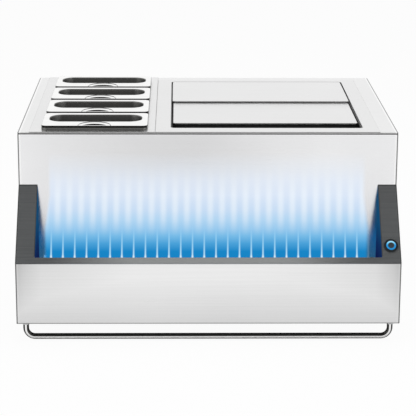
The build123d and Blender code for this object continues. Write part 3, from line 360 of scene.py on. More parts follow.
def polished_stainless(name):
    """Polished stainless: a clear mirror with a slight ripple. Returns its tone and gloss too, which some
    pieces go on to change."""
    material, tree, steel, place = start_material(name, Metallic=1.0)
    ripple = add(tree, "ShaderNodeTexNoise", {"Vector": place, "Scale": 1 / (22 * MM), "Detail": 2.0})
    tone = add(tree, "ShaderNodeValToRGB", {"Fac": ripple})
    set_stops(tone, [(0.3, "#F1F1F0"), (0.7, "#F8F8F7")])
    gloss = add(
        tree, "ShaderNodeMapRange",
        {"Value": ripple, "From Min": 0.3, "From Max": 0.7, "To Min": 0.05, "To Max": 0.09},
    )
    relief = add(tree, "ShaderNodeBump", {"Height": ripple, "Strength": 0.04, "Distance": 0.5 * MM})
    fill(tree, steel, {"Base Color": tone, "Roughness": gloss, "Normal": relief})
    return material, tree, steel, tone, gloss


def drawn_stainless():
    """Sheet drawn into a pan and polished, with painted shade: bright where it lies flat, painted darker and
    duller where it bends, and painted near black on the faces turned to the front ahead of each bowl.
    """
    material, tree, steel, tone, gloss = polished_stainless("stainless_drawn_polished")
    coords = add(tree, "ShaderNodeTexCoord")
    facing = add(tree, "ShaderNodeSeparateXYZ", {"Vector": coords.outputs["Normal"]})
    flat = add(tree, "ShaderNodeMath", {0: facing.outputs["Z"]}, operation="ABSOLUTE")
    # Painted shade: bends, where the faces turn off flat, are painted a darker grey
    bend = add(
        tree, "ShaderNodeMapRange", {"Value": flat, "From Min": 0.985, "From Max": 0.7},
        interpolation_type="SMOOTHSTEP",
    )
    painted_shade = add(tree, "ShaderNodeMix", {"Factor": bend, 6: tone, 7: srgb("#747472")}, data_type="RGBA")
    satin = add(tree, "ShaderNodeMapRange", {"Value": bend, "To Min": gloss, "To Max": 0.45})

    # Painted shade: the faces turned to the front ahead of each bowl (top of the skirt, bead, slot) are
    # painted near black
    low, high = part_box("condiment_pan_1")
    row_pitch = abs(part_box("condiment_pan_2")[0].y - low.y)
    row_start = low.y - 1 * MM
    bowl_front = low.y + 40.5 * MM
    skirt_back = low.y + 5 * MM
    at = add(tree, "ShaderNodeSeparateXYZ", {"Vector": coords.outputs["Object"]})
    in_row = add(
        tree, "ShaderNodeMath", {0: at.outputs["Y"], 1: row_start + row_pitch, 2: row_start}, operation="WRAP"
    )
    frontward = add(
        tree, "ShaderNodeMapRange", {"Value": facing.outputs["Y"], "From Min": -0.2, "From Max": -0.6}
    )
    ahead = add(tree, "ShaderNodeMath", {0: in_row, 1: bowl_front}, operation="LESS_THAN")
    upper = add(
        tree, "ShaderNodeMapRange",
        {"Value": at.outputs["Z"], "From Min": high.z - 6 * MM, "From Max": high.z - 4.5 * MM},
    )
    inside = add(tree, "ShaderNodeMath", {0: in_row, 1: skirt_back}, operation="GREATER_THAN")
    shaded_band = add(tree, "ShaderNodeMath", {0: upper, 1: inside}, operation="MAXIMUM")
    front_face = add(tree, "ShaderNodeMath", {0: frontward, 1: ahead}, operation="MULTIPLY")
    front_shade_mask = add(tree, "ShaderNodeMath", {0: front_face, 1: shaded_band}, operation="MULTIPLY")
    black = add(tree, "ShaderNodeMix", {"Factor": front_shade_mask, 6: painted_shade, 7: srgb("#212120")}, data_type="RGBA")
    fill(tree, steel, {"Base Color": black, "Roughness": satin})
    return material


def rod_stainless():
    """The towel bar's drawn rod, with a painted reflection: a painted bright line along its front, and
    painted dark round the rest of it.
    """
    material, tree, steel, tone, gloss = polished_stainless("stainless_rod_painted_reflection")
    facing = add(tree, "ShaderNodeTexCoord").outputs["Normal"]
    # The painted highlight line faces forward and 11 degrees down
    towards = add(tree, "ShaderNodeVectorMath", {0: facing, 1: (0.0, -0.98, -0.2)}, operation="DOT_PRODUCT")
    painted_dark_share = add(
        tree, "ShaderNodeMapRange", {"Value": towards, "From Min": 0.965, "From Max": 0.9},
        interpolation_type="SMOOTHSTEP",
    )
    dark = add(tree, "ShaderNodeMix", {"Factor": painted_dark_share, 6: tone, 7: srgb("#3A3A38")}, data_type="RGBA")
    satin = add(tree, "ShaderNodeMapRange", {"Value": painted_dark_share, "To Min": gloss, "To Max": 0.3})
    fill(tree, steel, {"Base Color": dark, "Roughness": satin})
    return material


def charcoal_coat(name, rough_low, rough_high, **values):
    """Satin charcoal coat over brushed sheet: dark grey, with the brushing just showing through. Returns the
    brushing too, for the tone."""
    material, tree, coat, place = start_material(name, **values)
    # Brush lines under the coat, drawn at 2.5 mm so that they show
    lines = brush_lines(tree, place, "X", line_mm=2.5, run_mm=120.0)
    gloss = add(
        tree, "ShaderNodeMapRange",
        {"Value": lines, "From Min": 0.3, "From Max": 0.7, "To Min": rough_low, "To Max": rough_high},
    )
    relief = add(tree, "ShaderNodeBump", {"Height": lines, "Strength": 0.08, "Distance": 0.2 * MM})
    fill(tree, coat, {"Roughness": gloss, "Normal": relief})
    return material, tree, coat, place, lines


def trim_charcoal():
    """Satin charcoal coat on the rail's trim, with a painted sheen paler along the middle of the front bar
    and painted shade lines along its edges.
    """
    material, tree, coat, place, lines = charcoal_coat("steel_satin_charcoal_coat", 0.42, 0.52)
    tone = add(tree, "ShaderNodeValToRGB", {"Fac": lines})
    set_stops(tone, [(0.3, "#4E5051"), (0.7, "#595B5C")])
    at = add(tree, "ShaderNodeSeparateXYZ", {"Vector": place})
    out = add(tree, "ShaderNodeMath", {0: at.outputs["X"]}, operation="ABSOLUTE")
    # Painted sheen: paler towards the middle of the front bar
    painted_sheen = add(
        tree, "ShaderNodeMapRange", {"Value": out, "From Min": 330 * MM, "From Max": 130 * MM},
        interpolation_type="SMOOTHSTEP",
    )
    painted_light_and_shade = add(tree, "ShaderNodeMix", {"Factor": painted_sheen, 6: tone, 7: srgb("#929494")}, data_type="RGBA")

    # Painted shade at the edges: a darker line down the outside, along the top, and down the inside of each
    # arm
    low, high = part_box("rail_trim")
    inner_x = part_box("rail_right_inner_wall")[0].x
    at_side = add(
        tree, "ShaderNodeMapRange",
        {"Value": out, "From Min": high.x - 2.2 * MM, "From Max": high.x - 1.2 * MM, "To Max": 0.85},
    )
    at_top = add(
        tree, "ShaderNodeMapRange",
        {"Value": at.outputs["Z"], "From Min": high.z - 2.4 * MM, "From Max": high.z - 1.6 * MM,
         "To Max": 0.7},
    )
    on_arm = add(
        tree, "ShaderNodeMapRange",
        {"Value": at.outputs["Z"], "From Min": low.z + 12 * MM, "From Max": low.z + 13 * MM, "To Max": 0.6},
    )
    inside = add(
        tree, "ShaderNodeMapRange",
        {"Value": out, "From Min": inner_x + 2.2 * MM, "From Max": inner_x + 1.2 * MM},
    )
    at_inside = add(tree, "ShaderNodeMath", {0: on_arm, 1: inside}, operation="MULTIPLY")
    outside = add(tree, "ShaderNodeMath", {0: at_side, 1: at_top}, operation="MAXIMUM")
    edge_shade_lines = add(tree, "ShaderNodeMath", {0: outside, 1: at_inside}, operation="MAXIMUM")
    edged = add(tree, "ShaderNodeMix", {"Factor": edge_shade_lines, 6: painted_light_and_shade, 7: srgb("#1C1C1A")}, data_type="RGBA")
    fill(tree, coat, {"Base Color": edged})
    return material


def wall_charcoal():
    """The same coat on the trough's end walls, painted nearly black as painted shade, with the blue of the
    light bar painted on it as emission.
    """
    material, tree, coat, place, lines = charcoal_coat(
        "steel_matt_charcoal_coat_painted_shade_and_glow", 0.5, 0.6, Specular_IOR_Level=0.0
    )
    # Painted shade: the coat's tone is set nearly black
    tone = add(tree, "ShaderNodeValToRGB", {"Fac": lines})
    set_stops(tone, [(0.3, "#06090D"), (0.7, "#0A0D12")])
    at = add(tree, "ShaderNodeSeparateXYZ", {"Vector": place})
    low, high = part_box("rail_left_inner_wall")
    rise = add(tree, "ShaderNodeMapRange", {"Value": at.outputs["Z"], "From Min": low.z, "From Max": high.z})
    # Painted light: the blue of the light bar as emission, brighter and bluer with height
    glow = add(tree, "ShaderNodeValToRGB", {"Fac": rise})
    set_stops(glow, [
        (0.0, "#0A0A38"), (0.4, "#0E1444"), (0.55, "#0F2A58"), (0.72, "#10466E"), (1.0, "#184A6C"),
    ])
    fill(tree, coat, {"Base Color": tone, "Emission Color": glow, "Emission Strength": 1.0})
    return material


def grained_solid(name, dark, pale, grain_mm, rough_low, rough_high, relief_mm, **values):
    """A moulded, cast or plated surface with a fine even grain in tone, gloss and relief."""
    material, tree, shader, place = start_material(name, **values)
    grain = add(tree, "ShaderNodeTexNoise", {"Vector": place, "Scale": 1 / (grain_mm * MM), "Detail": 4.0})
    tone = add(tree, "ShaderNodeValToRGB", {"Fac": grain})
    set_stops(tone, [(0.3, dark), (0.7, pale)])
    gloss = add(
        tree, "ShaderNodeMapRange",
        {"Value": grain, "From Min": 0.3, "From Max": 0.7, "To Min": rough_low, "To Max": rough_high},
    )
    relief = add(tree, "ShaderNodeBump", {"Height": grain, "Strength": 0.25, "Distance": relief_mm * MM})
    fill(tree, shader, {"Base Color": tone, "Roughness": gloss, "Normal": relief})
    return material


def lit_led_package():
    """White ceramic light package with a lit round window."""
    material, tree, ceramic, place = start_material("led_ceramic_package_lit", Roughness=0.45)
    at = add(tree, "ShaderNodeSeparateXYZ", {"Vector": place})
    from_first = add(tree, "ShaderNodeMath", {0: at.outputs["X"], 1: first_led_x}, operation="SUBTRACT")
    across = add(tree, "ShaderNodeMath", {0: from_first, 1: led_pitch / 2}, operation="PINGPONG")
    along = add(tree, "ShaderNodeMath", {0: at.outputs["Y"], 1: led_y}, operation="SUBTRACT")
    spot = add(tree, "ShaderNodeCombineXYZ", {"X": across, "Y": along})
    reach = add(tree, "ShaderNodeVectorMath", {0: spot}, operation="LENGTH")
    window = add(tree, "ShaderNodeMapRange", {"Value": reach, "From Min": 2.0 * MM, "From Max": 1.6 * MM})
    tone = add(
        tree, "ShaderNodeMix", {"Factor": window, 6: srgb("#E9ECEE"), 7: srgb("#BFE4FF")}, data_type="RGBA"
    )
    glow = add(
        tree, "ShaderNodeMix", {"Factor": window, 6: srgb("#0A2A4A"), 7: srgb("#D8F0FF")}, data_type="RGBA"
    )
    fill(tree, ceramic, {"Base Color": tone, "Emission Color": glow, "Emission Strength": 2.0})
    return material


def lit_ring():
    """Clear moulded ring with a light behind it: cyan, brighter where the light sits."""
    material, tree, ring, place = start_material("polycarbonate_ring_lit", Roughness=0.2)
    low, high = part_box("switch_ring")
    at = add(tree, "ShaderNodeSeparateXYZ", {"Vector": place})
    rise = add(tree, "ShaderNodeMapRange", {"Value": at.outputs["Z"], "From Min": low.z, "From Max": high.z})
    glow = add(tree, "ShaderNodeValToRGB", {"Fac": rise})
    set_stops(glow, [
        (0.0, "#3AA4DE"), (0.2, "#1C86C6"), (0.6, "#1E8FD2"), (0.82, "#74CDF6"), (1.0, "#B4E6FC"),
    ])
    fill(tree, ring, {"Base Color": srgb("#06202F"), "Emission Color": glow, "Emission Strength": 1.0})
    return material


def clear_cover():
    """Extruded clear strip over the lights: pale blue with the light inside it."""
    material, tree, strip, place = start_material(
        "polycarbonate_strip_extruded", Roughness=0.25, IOR=1.58, Transmission_Weight=0.85
    )
    lines = brush_lines(tree, place, "X", line_mm=2.0, run_mm=90.0)
    glow = add(tree, "ShaderNodeValToRGB", {"Fac": lines})
    set_stops(glow, [(0.3, "#2E86C8"), (0.7, "#58AEE8")])
    fill(tree, strip, {"Base Color": srgb("#EAF5FC"), "Emission Color": glow, "Emission Strength": 0.5})
    return material


def levelling_foot():
    """Moulded black pad below, zinc-plated stud above."""
    material, tree, foot, place = start_material("levelling_foot_nylon_and_zinc")
    pad_top = 12 * MM
    stud_from = pad_top + 0.2 * MM
    at = add(tree, "ShaderNodeSeparateXYZ", {"Vector": place})
    stud = add(tree, "ShaderNodeMath", {0: at.outputs["Z"], 1: stud_from}, operation="GREATER_THAN")
    grain = add(tree, "ShaderNodeTexNoise", {"Vector": place, "Scale": 1 / (1.2 * MM), "Detail": 3.0})
    nylon = add(tree, "ShaderNodeValToRGB", {"Fac": grain})
    set_stops(nylon, [(0.3, "#1B1B1C"), (0.7, "#262627")])
    tone = add(tree, "ShaderNodeMix", {"Factor": stud, 6: nylon, 7: srgb("#B9BBBD")}, data_type="RGBA")
    gloss = add(tree, "ShaderNodeMapRange", {"Value": stud, "To Min": 0.55, "To Max": 0.3})
    fill(tree, foot, {"Base Color": tone, "Metallic": stud, "Roughness": gloss})
    return material


steel_across = brushed_stainless("stainless_brushed_across", "X")
steel_front_to_back = brushed_stainless("stainless_brushed_front_to_back", "Y")
steel_lit = lit_brushed_stainless()
steel_rail = rail_front_stainless()
steel_deck = deck_stainless()
steel_polished = polished_stainless("stainless_turned_polished")[0]
steel_drawn = drawn_stainless()
steel_rod = rod_stainless()
trim_coat = trim_charcoal()
wall_coat = wall_charcoal()
# Moulded nylon and ABS: near black with a fine sandy grain
black_plastic = grained_solid("abs_black_moulded", "#151516", "#202021", 0.8, 0.42, 0.55, 0.05)
# Closed-cell foam: cream, with cells that catch the light
foam_jacket = grained_solid("polyurethane_foam_poured", "#D9C99A", "#E8DBB4", 2.5, 0.85, 0.95, 0.6)
# Moulded EPDM: black and dull
rubber = grained_solid("epdm_rubber_moulded", "#121212", "#1C1C1C", 1.0, 0.7, 0.8, 0.1)
# Extruded PVC jacket: dark grey with a soft sheen
cable_jacket = grained_solid("pvc_cable_jacket_extruded", "#1E1F21", "#2A2B2D", 1.2, 0.45, 0.55, 0.05)
# Plain stainless fasteners: bright grey, a little uneven from the header's dies
fastener_steel = grained_solid(
    "stainless_fasteners_headed", "#B4B5B6", "#C6C7C8", 1.0, 0.25, 0.35, 0.03, Metallic=1.0
)
# Extruded aluminium, clear anodised: pale grey and dull
aluminium = grained_solid(
    "aluminium_extruded_anodised", "#C2C5C8", "#CFD2D5", 1.4, 0.38, 0.46, 0.02, Metallic=1.0
)
# White solder mask over the board: slightly glossy
board_mask = grained_solid("glass_fibre_board_white_mask", "#DCE2E6", "#EAEEF1", 1.5, 0.3, 0.4, 0.02)
# Nickel plate on the switch, dark grey with a satin gloss: black round the outside, paler on the cap
switch_plate = grained_solid(
    "brass_black_nickel_plated", "#232628", "#2D3134", 0.6, 0.3, 0.4, 0.01, Metallic=0.6
)
button_plate = grained_solid(
    "brass_satin_nickel_cap", "#3A4247", "#4A5359", 0.5, 0.35, 0.45, 0.01, Metallic=0.6
)
led_package = lit_led_package()
ring_light = lit_ring()
led_cover = clear_cover()
foot_finish = levelling_foot()


def place_piece(name, mesh, node):
    """Puts a finished mesh into the scene in place of a CAD node, on the node's body."""
    piece = bpy.data.objects.new(name, mesh)
    scene.collection.objects.link(piece)
    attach(piece, body_of[node])
    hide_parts(node)


def baked_mesh(holder, name):
    """The plain mesh that an object's modifiers give, with the object and its modifiers gone."""
    bpy.context.view_layer.update()
    graph = bpy.context.evaluated_depsgraph_get()
    mesh = bpy.data.meshes.new_from_object(holder.evaluated_get(graph), depsgraph=graph)
    mesh.name = name
    bpy.data.objects.remove(holder)
    return mesh


def dress(node, material, edge_mm):
    """A finished copy of a CAD node: one closed mesh with softly rounded edges and smooth curves."""
    sharp_from = math.radians(32)
    mesh = frame["nodes"][node].data.copy()
    shape = bmesh.new()
    shape.from_mesh(mesh)
    bmesh.ops.remove_doubles(shape, verts=shape.verts, dist=0.001 * MM)
    bmesh.ops.dissolve_limit(shape, angle_limit=math.radians(0.4), verts=shape.verts, edges=shape.edges)
    for face in shape.faces:
        face.smooth = True
    for edge in shape.edges:
        edge.smooth = edge.calc_face_angle(math.pi) < sharp_from
    shape.to_mesh(mesh)
    shape.free()
    mesh.materials.clear()
    mesh.materials.append(material)
    holder = bpy.data.objects.new(node + "_draft", mesh)
    scene.collection.objects.link(holder)
    if edge_mm:
        rounding = holder.modifiers.new("rounded edges", "BEVEL")
        rounding.width = edge_mm * MM
        rounding.segments = 2
        rounding.limit_method = "ANGLE"
        rounding.angle_limit = sharp_from
        rounding.harden_normals = True
    place_piece(node + "_finish", baked_mesh(holder, node + "_finish"), node)


# Each finish, the rounding of its edges in mm, and the nodes that wear it. Sheets are brushed across where
# they face up, forward or back, and front to back on the sides.
wardrobe = [
    (steel_across, 0.4, [
        "rear_panel", "rear_access_cover", "condiment_frame", "ice_bin_flange", "front_lid", "rear_lid",
        "rail_floor", "base_pan", "ice_bin_walls", "ice_bin_floor", "condiment_well",
    ]),
    (steel_front_to_back, 0.4, [
        "left_side_panel", "right_side_panel", "rail_left_cheek", "rail_right_cheek",
    ]),
    (steel_deck, 0.4, ["top_deck"]),
    (steel_lit, 0.6, ["front_panel"]),
    (steel_rail, 0.7, ["rail_front_panel"]),
    (steel_drawn, 0.3, ["condiment_pan_1", "condiment_pan_2", "condiment_pan_3", "condiment_pan_4"]),
    (steel_polished, 0.3, ["drain_body", "drain_strainer"]),
    (steel_rod, 0.3, ["towel_bar"]),
    (trim_coat, 0.6, ["rail_trim"]),
    (wall_coat, 0.4, ["rail_left_inner_wall", "rail_right_inner_wall"]),
    (black_plastic, 0.5, [
        "lid_runner_left", "lid_runner_right", "front_lid_glides", "rear_lid_glides", "front_lid_grip",
        "power_inlet", "led_driver", "drain_nut",
    ]),
    (fastener_steel, 0.3, [
        "rail_nuts", "switch_nut", "inlet_nut", "towel_bar_nuts", "foot_nuts", "driver_screws",
    ]),
    (cable_jacket, 0.0, ["led_cable", "switch_cable", "inlet_cable"]),
    (rubber, 0.3, ["deck_gasket", "drain_gasket", "cable_grommets"]),
    (foam_jacket, 1.5, ["ice_bin_insulation"]),
    (aluminium, 0.3, ["led_channel"]),
    (board_mask, 0.2, ["led_board"]),
    (led_cover, 0.3, ["led_lens"]),
    (switch_plate, 0.3, ["switch_bezel"]),
    (ring_light, 0.15, ["switch_ring"]),
    (button_plate, 0.2, ["light_button"]),
    (foot_finish, 0.8, ["levelling_feet"]),
]
for finish, edge_mm, wearers in wardrobe:
    for node in wearers:
        dress(node, finish, edge_mm)


def geometry_tree(name, counts, lengths):
    """An empty Geometry Nodes tree with named counts and lengths. Returns the tree and its input sockets."""
    tree = bpy.data.node_groups.new(name, "GeometryNodeTree")
    tree.interface.new_socket("Geometry", in_out="OUTPUT", socket_type="NodeSocketGeometry")
    for label in counts:
        tree.interface.new_socket(label, in_out="INPUT", socket_type="NodeSocketInt")
    for label in lengths:
        tree.interface.new_socket(label, in_out="INPUT", socket_type="NodeSocketFloat")
    return tree, add(tree, "NodeGroupInput").outputs


def grow(name, tree, sizes):
    """Runs a Geometry Nodes tree on an empty mesh, with its sizes set by socket identifier."""
    holder = bpy.data.objects.new(name + "_draft", bpy.data.meshes.new(name + "_draft"))
    scene.collection.objects.link(holder)
    modifier = holder.modifiers.new(name, "NODES")
    modifier.node_group = tree
    for item in tree.interface.items_tree:
        if item.in_out == "INPUT":
            modifier[item.identifier] = sizes[item.name]
    return baked_mesh(holder, name)


def light_row_tree():
    """A row of light packages: a square block with a low dome on each."""
    tree, given = geometry_tree("row of lights", ["Count"], ["Pitch", "Side", "Height"])
    step = add(tree, "ShaderNodeCombineXYZ", {"X": given["Pitch"]})
    start = (first_led_x, led_y, led_low.z)
    row = add(
        tree, "GeometryNodeMeshLine", {"Count": given["Count"], "Start Location": start, "Offset": step}
    )
    block_height = add(tree, "ShaderNodeMath", {0: given["Height"], 1: 0.6}, operation="MULTIPLY")
    block_size = add(
        tree, "ShaderNodeCombineXYZ", {"X": given["Side"], "Y": given["Side"], "Z": block_height}
    )
    block = add(tree, "GeometryNodeMeshCube", {"Size": block_size})
    half = add(tree, "ShaderNodeMath", {0: block_height, 1: 0.5}, operation="MULTIPLY")
    lift = add(tree, "ShaderNodeCombineXYZ", {"Z": half})
    seated = add(tree, "GeometryNodeTransform", {"Geometry": block, "Translation": lift})
    dome_radius = add(tree, "ShaderNodeMath", {0: given["Side"], 1: 0.4}, operation="MULTIPLY")
    dome_height = add(tree, "ShaderNodeMath", {0: given["Height"], 1: 0.39}, operation="MULTIPLY")
    dome = add(tree, "GeometryNodeMeshUVSphere", {"Segments": 20, "Rings": 10, "Radius": 1.0})
    dome_size = add(
        tree, "ShaderNodeCombineXYZ", {"X": dome_radius, "Y": dome_radius, "Z": dome_height}
    )
    dome_lift = add(tree, "ShaderNodeCombineXYZ", {"Z": block_height})
    dome_seated = add(
        tree, "GeometryNodeTransform", {"Geometry": dome, "Translation": dome_lift, "Scale": dome_size}
    )
    one_light = add(tree, "GeometryNodeJoinGeometry", {"Geometry": seated})
    fill(tree, one_light, {"Geometry": dome_seated})
    lights = add(tree, "GeometryNodeInstanceOnPoints", {"Points": row, "Instance": one_light})
    whole = add(tree, "GeometryNodeRealizeInstances", {"Geometry": lights})
    coloured = add(tree, "GeometryNodeSetMaterial", {"Geometry": whole, "Material": led_package})
    add(tree, "NodeGroupOutput", {0: coloured})
    return tree


def socket_screw_tree():
    """Socket-head screws on a grid in the XZ plane: a tapered head with a prism cut into it, and a shank."""
    tree, given = geometry_tree("grid of screws", ["Columns", "Rows", "Recess Sides"], [
        "Width", "Height", "Middle X", "Middle Z", "Seat Y", "Turn", "Head Radius", "Head Height",
        "Recess Radius", "Shank Radius", "Shank Length",
    ])
    grid = add(
        tree, "GeometryNodeMeshGrid",
        {"Size X": given["Width"], "Size Y": given["Height"], "Vertices X": given["Columns"],
         "Vertices Y": given["Rows"]},
    )
    middle = add(
        tree, "ShaderNodeCombineXYZ", {"X": given["Middle X"], "Y": given["Seat Y"], "Z": given["Middle Z"]}
    )
    upright = add(
        tree, "GeometryNodeTransform",
        {"Geometry": grid, "Translation": middle, "Rotation": (math.pi / 2, 0.0, 0.0)},
    )
    top_radius = add(tree, "ShaderNodeMath", {0: given["Head Radius"], 1: 0.72}, operation="MULTIPLY")
    head = add(
        tree, "GeometryNodeMeshCone",
        {"Vertices": 28, "Radius Top": top_radius, "Radius Bottom": given["Head Radius"],
         "Depth": given["Head Height"]},
    )
    recess = add(
        tree, "GeometryNodeMeshCylinder",
        {"Vertices": given["Recess Sides"], "Radius": given["Recess Radius"], "Depth": given["Head Height"]},
    )
    recess_lift = add(tree, "ShaderNodeMath", {0: given["Head Height"], 1: 0.85}, operation="MULTIPLY")
    recess_place = add(tree, "ShaderNodeCombineXYZ", {"Z": recess_lift})
    raised = add(tree, "GeometryNodeTransform", {"Geometry": recess, "Translation": recess_place})
    cut = add(tree, "GeometryNodeMeshBoolean", {0: head, 1: raised}, operation="DIFFERENCE")
    shank = add(
        tree, "GeometryNodeMeshCylinder",
        {"Vertices": 20, "Radius": given["Shank Radius"], "Depth": given["Shank Length"]},
    )
    shank_half = add(tree, "ShaderNodeMath", {0: given["Shank Length"], 1: -0.5}, operation="MULTIPLY")
    shank_place = add(tree, "ShaderNodeCombineXYZ", {"Z": shank_half})
    lowered = add(tree, "GeometryNodeTransform", {"Geometry": shank, "Translation": shank_place})
    screw = add(tree, "GeometryNodeJoinGeometry", {"Geometry": cut})
    fill(tree, screw, {"Geometry": lowered})
    facing = add(tree, "ShaderNodeCombineXYZ", {"X": given["Turn"]})
    screws = add(
        tree, "GeometryNodeInstanceOnPoints", {"Points": upright, "Instance": screw, "Rotation": facing}
    )
    whole = add(tree, "GeometryNodeRealizeInstances", {"Geometry": screws})
    coloured = add(tree, "GeometryNodeSetMaterial", {"Geometry": whole, "Material": fastener_steel})
    add(tree, "NodeGroupOutput", {0: coloured})
    return tree


led_row = grow("led_row", light_row_tree(), {
    "Count": led_count, "Pitch": led_pitch, "Side": led_side, "Height": led_high.z - led_low.z,
})
place_piece("led_row", led_row, "led_chips")

screw_tree = socket_screw_tree()
cover_low, cover_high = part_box("access_cover_screws")
cover_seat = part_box("rear_access_cover")[1].y
cover_head = 4 * MM
cover_screws = grow("cover_screws", screw_tree, {
    "Columns": 2, "Rows": 2, "Width": cover_high.x - cover_low.x - 2 * cover_head,
    "Height": cover_high.z - cover_low.z - 2 * cover_head, "Middle X": (cover_low.x + cover_high.x) / 2,
    "Middle Z": (cover_low.z + cover_high.z) / 2, "Seat Y": cover_seat, "Turn": -math.pi / 2,
    "Head Radius": cover_head, "Head Height": cover_high.y - cover_seat, "Recess Sides": 4,
    "Recess Radius": 1.9 * MM, "Shank Radius": 2 * MM, "Shank Length": cover_seat - cover_low.y,
})
place_piece("cover_screws", cover_screws, "access_cover_screws")

bolt_low, bolt_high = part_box("rail_bolts")
bolt_head = 5 * MM
bolt_head_height = 4 * MM
bolt_seat = bolt_low.y + bolt_head_height
rail_bolts = grow("rail_socket_bolts", screw_tree, {
    "Columns": 5, "Rows": 1, "Width": bolt_high.x - bolt_low.x - 2 * bolt_head, "Height": 0.0,
    "Middle X": 0.0, "Middle Z": (bolt_low.z + bolt_high.z) / 2, "Seat Y": bolt_seat, "Turn": math.pi / 2,
    "Head Radius": bolt_head, "Head Height": bolt_head_height, "Recess Sides": 6, "Recess Radius": 2.6 * MM,
    "Shank Radius": 3 * MM, "Shank Length": bolt_high.y - bolt_seat,
})
place_piece("rail_socket_bolts", rail_bolts, "rail_bolts")


# Studio floor: near white to the camera. In metal it is dark under the object and bright past each side.
floor_reach = 9.0
under_half_width = 0.36
under_half_depth = 0.34
side_fade = 0.10
end_fade = 0.06
side_glow = 0.66
back_glow = 0.72
front_glow = 0.9
floor_mesh = bpy.data.meshes.new("studio_floor")
floor_corners = [(x * floor_reach, y * floor_reach, 0) for x, y in ((-1, -1), (1, -1), (1, 1), (-1, 1))]
floor_mesh.from_pydata(floor_corners, [], [(0, 1, 2, 3)])
floor = bpy.data.objects.new("studio_floor", floor_mesh)
scene.collection.objects.link(floor)
floor_material = bpy.data.materials.new("studio_floor_matte_white")
floor_material.use_nodes = True
stage = floor_material.node_tree
stage.nodes.clear()
matte = add(stage, "ShaderNodeBsdfDiffuse", {"Color": srgb("#F2F2F2")})
bright = add(stage, "ShaderNodeEmission", {"Color": pure_white, "Strength": 1.0})
seen = add(stage, "ShaderNodeLightPath")
mirrored = add(
    stage, "ShaderNodeMath", {0: seen.outputs["Is Glossy Ray"], 1: seen.outputs["Is Transmission Ray"]},
    operation="MAXIMUM",
)
direct = add(stage, "ShaderNodeMath", {0: seen.outputs["Is Camera Ray"], 1: 0.95}, operation="MULTIPLY")
floor_place = add(stage, "ShaderNodeTexCoord").outputs["Object"]
floor_at = add(stage, "ShaderNodeSeparateXYZ", {"Vector": floor_place})
sideways = add(stage, "ShaderNodeMath", {0: floor_at.outputs["X"]}, operation="ABSOLUTE")
past_side = add(
    stage, "ShaderNodeMapRange",
    {"Value": sideways, "From Min": under_half_width, "From Max": under_half_width + side_fade,
     "To Max": side_glow},
)
behind = add(
    stage, "ShaderNodeMapRange",
    {"Value": floor_at.outputs["Y"], "From Min": under_half_depth, "From Max": under_half_depth + end_fade,
     "To Max": back_glow},
)
in_front = add(
    stage, "ShaderNodeMapRange",
    {"Value": floor_at.outputs["Y"], "From Min": -under_half_depth, "From Max": -under_half_depth - end_fade,
     "To Max": front_glow},
)
past_end = add(stage, "ShaderNodeMath", {0: behind, 1: in_front}, operation="MAXIMUM")
clear_of_object = add(stage, "ShaderNodeMath", {0: past_side, 1: past_end}, operation="MAXIMUM")
in_metal = add(stage, "ShaderNodeMath", {0: mirrored, 1: clear_of_object}, operation="MULTIPLY")
whiten = add(stage, "ShaderNodeMath", {0: direct, 1: in_metal}, operation="MAXIMUM")
floor_mix = add(stage, "ShaderNodeMixShader", {0: whiten, 1: matte, 2: bright})
add(stage, "ShaderNodeOutputMaterial", {"Surface": floor_mix})
floor_mesh.materials.append(floor_material)

# Surround: white to the camera, and in metal white with a grey end in front of the object, wider higher up
world = bpy.data.worlds.new("studio_surround")
scene.world = world
world.use_nodes = True
sky = world.node_tree
sky.nodes.clear()
towards = add(sky, "ShaderNodeTexCoord").outputs["Generated"]
direction = add(sky, "ShaderNodeSeparateXYZ", {"Vector": towards})
beside = add(sky, "ShaderNodeMath", {0: direction.outputs["X"]}, operation="ABSOLUTE")
half_width = add(
    sky, "ShaderNodeMapRange",
    {"Value": direction.outputs["Z"], "From Min": 0.3, "From Max": 0.55, "To Min": 0.6, "To Max": 1.2},
)
inner_width = add(sky, "ShaderNodeMath", {0: half_width, 1: 0.2}, operation="SUBTRACT")
ahead = add(
    sky, "ShaderNodeMapRange", {"Value": beside, "From Min": half_width, "From Max": inner_width},
    interpolation_type="SMOOTHSTEP",
)
frontward = add(
    sky, "ShaderNodeMapRange", {"Value": direction.outputs["Y"], "From Min": 0.3, "From Max": -0.1},
    interpolation_type="SMOOTHSTEP",
)
above_floor = add(
    sky, "ShaderNodeMapRange", {"Value": direction.outputs["Z"], "From Min": 0.04, "From Max": 0.14},
    interpolation_type="SMOOTHSTEP",
)
grey_band = add(sky, "ShaderNodeMath", {0: above_floor, 1: ahead}, operation="MULTIPLY")
grey_end = add(sky, "ShaderNodeMath", {0: grey_band, 1: frontward}, operation="MULTIPLY")
path = add(sky, "ShaderNodeLightPath")
grey_in_metal = add(
    sky, "ShaderNodeMath", {0: grey_end, 1: path.outputs["Is Glossy Ray"]}, operation="MULTIPLY"
)
surround = add(
    sky, "ShaderNodeMix", {"Factor": grey_in_metal, 6: pure_white, 7: srgb("#969696")}, data_type="RGBA"
)
shown = add(sky, "ShaderNodeBackground", {"Color": surround, "Strength": 1.0})
ambient = add(sky, "ShaderNodeBackground", {"Color": pure_white, "Strength": 0.45})
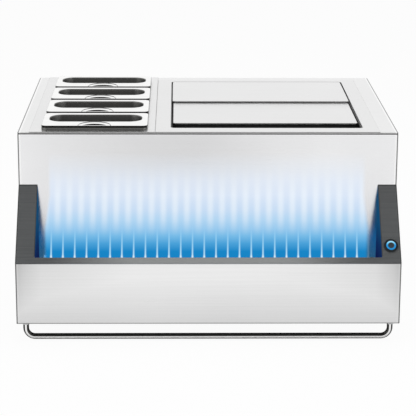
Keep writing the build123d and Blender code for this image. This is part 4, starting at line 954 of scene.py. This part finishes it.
seen_or_mirrored = add(
    sky, "ShaderNodeMath", {0: path.outputs["Is Camera Ray"], 1: path.outputs["Is Glossy Ray"]},
    operation="MAXIMUM",
)
seen_at_all = add(
    sky, "ShaderNodeMath", {0: seen_or_mirrored, 1: path.outputs["Is Transmission Ray"]}, operation="MAXIMUM"
)
sky_mix = add(sky, "ShaderNodeMixShader", {0: seen_at_all, 1: ambient, 2: shown})
add(sky, "ShaderNodeOutputWorld", {"Surface": sky_mix})


def softbox(name, place, aim, side, watts):
    """A square soft lamp at a place, turned to a point."""
    lamp = bpy.data.lights.new(name, "AREA")
    lamp.shape = "SQUARE"
    lamp.size = side
    lamp.energy = watts
    holder = bpy.data.objects.new(name, lamp)
    holder.location = place
    holder.rotation_euler = (Vector(aim) - Vector(place)).to_track_quat("-Z", "Y").to_euler()
    scene.collection.objects.link(holder)
    return holder


overhead = softbox("overhead_softbox", (0.0, 0.2, 2.6), (0.0, 0.0, 0.3), side=2.2, watts=26.0)
overhead.visible_glossy = False
softbox("left_softbox", (-2.2, -2.0, 1.7), (0.0, 0.0, 0.25), side=1.6, watts=16.0)
softbox("right_softbox", (2.2, -2.0, 1.7), (0.0, 0.0, 0.25), side=1.6, watts=16.0)

# Camera fitted to the corners of the deck, arms and rail: lens and place in mm, angles in degrees
photo_lens = 143.838
photo_place = (-60.255, -3470.358, 1145.622)
photo_turn = -1.069
photo_tilt = 15.497
photo_roll = 0.28
camera_data = bpy.data.cameras.new("photo_view")
camera_data.sensor_fit = "HORIZONTAL"
camera_data.sensor_width = 36.0
camera_data.lens = photo_lens
camera_data.clip_end = 60.0
camera = bpy.data.objects.new("photo_view", camera_data)
camera.location = [step * MM for step in photo_place]
turn = Matrix.Rotation(math.radians(photo_turn), 3, "Z")
tilt = Matrix.Rotation(math.radians(90 - photo_tilt), 3, "X")
roll = Matrix.Rotation(math.radians(photo_roll), 3, "Z")
camera.rotation_euler = (turn @ tilt @ roll).to_euler()
scene.collection.objects.link(camera)
scene.camera = camera
scene.view_settings.view_transform = "Standard"
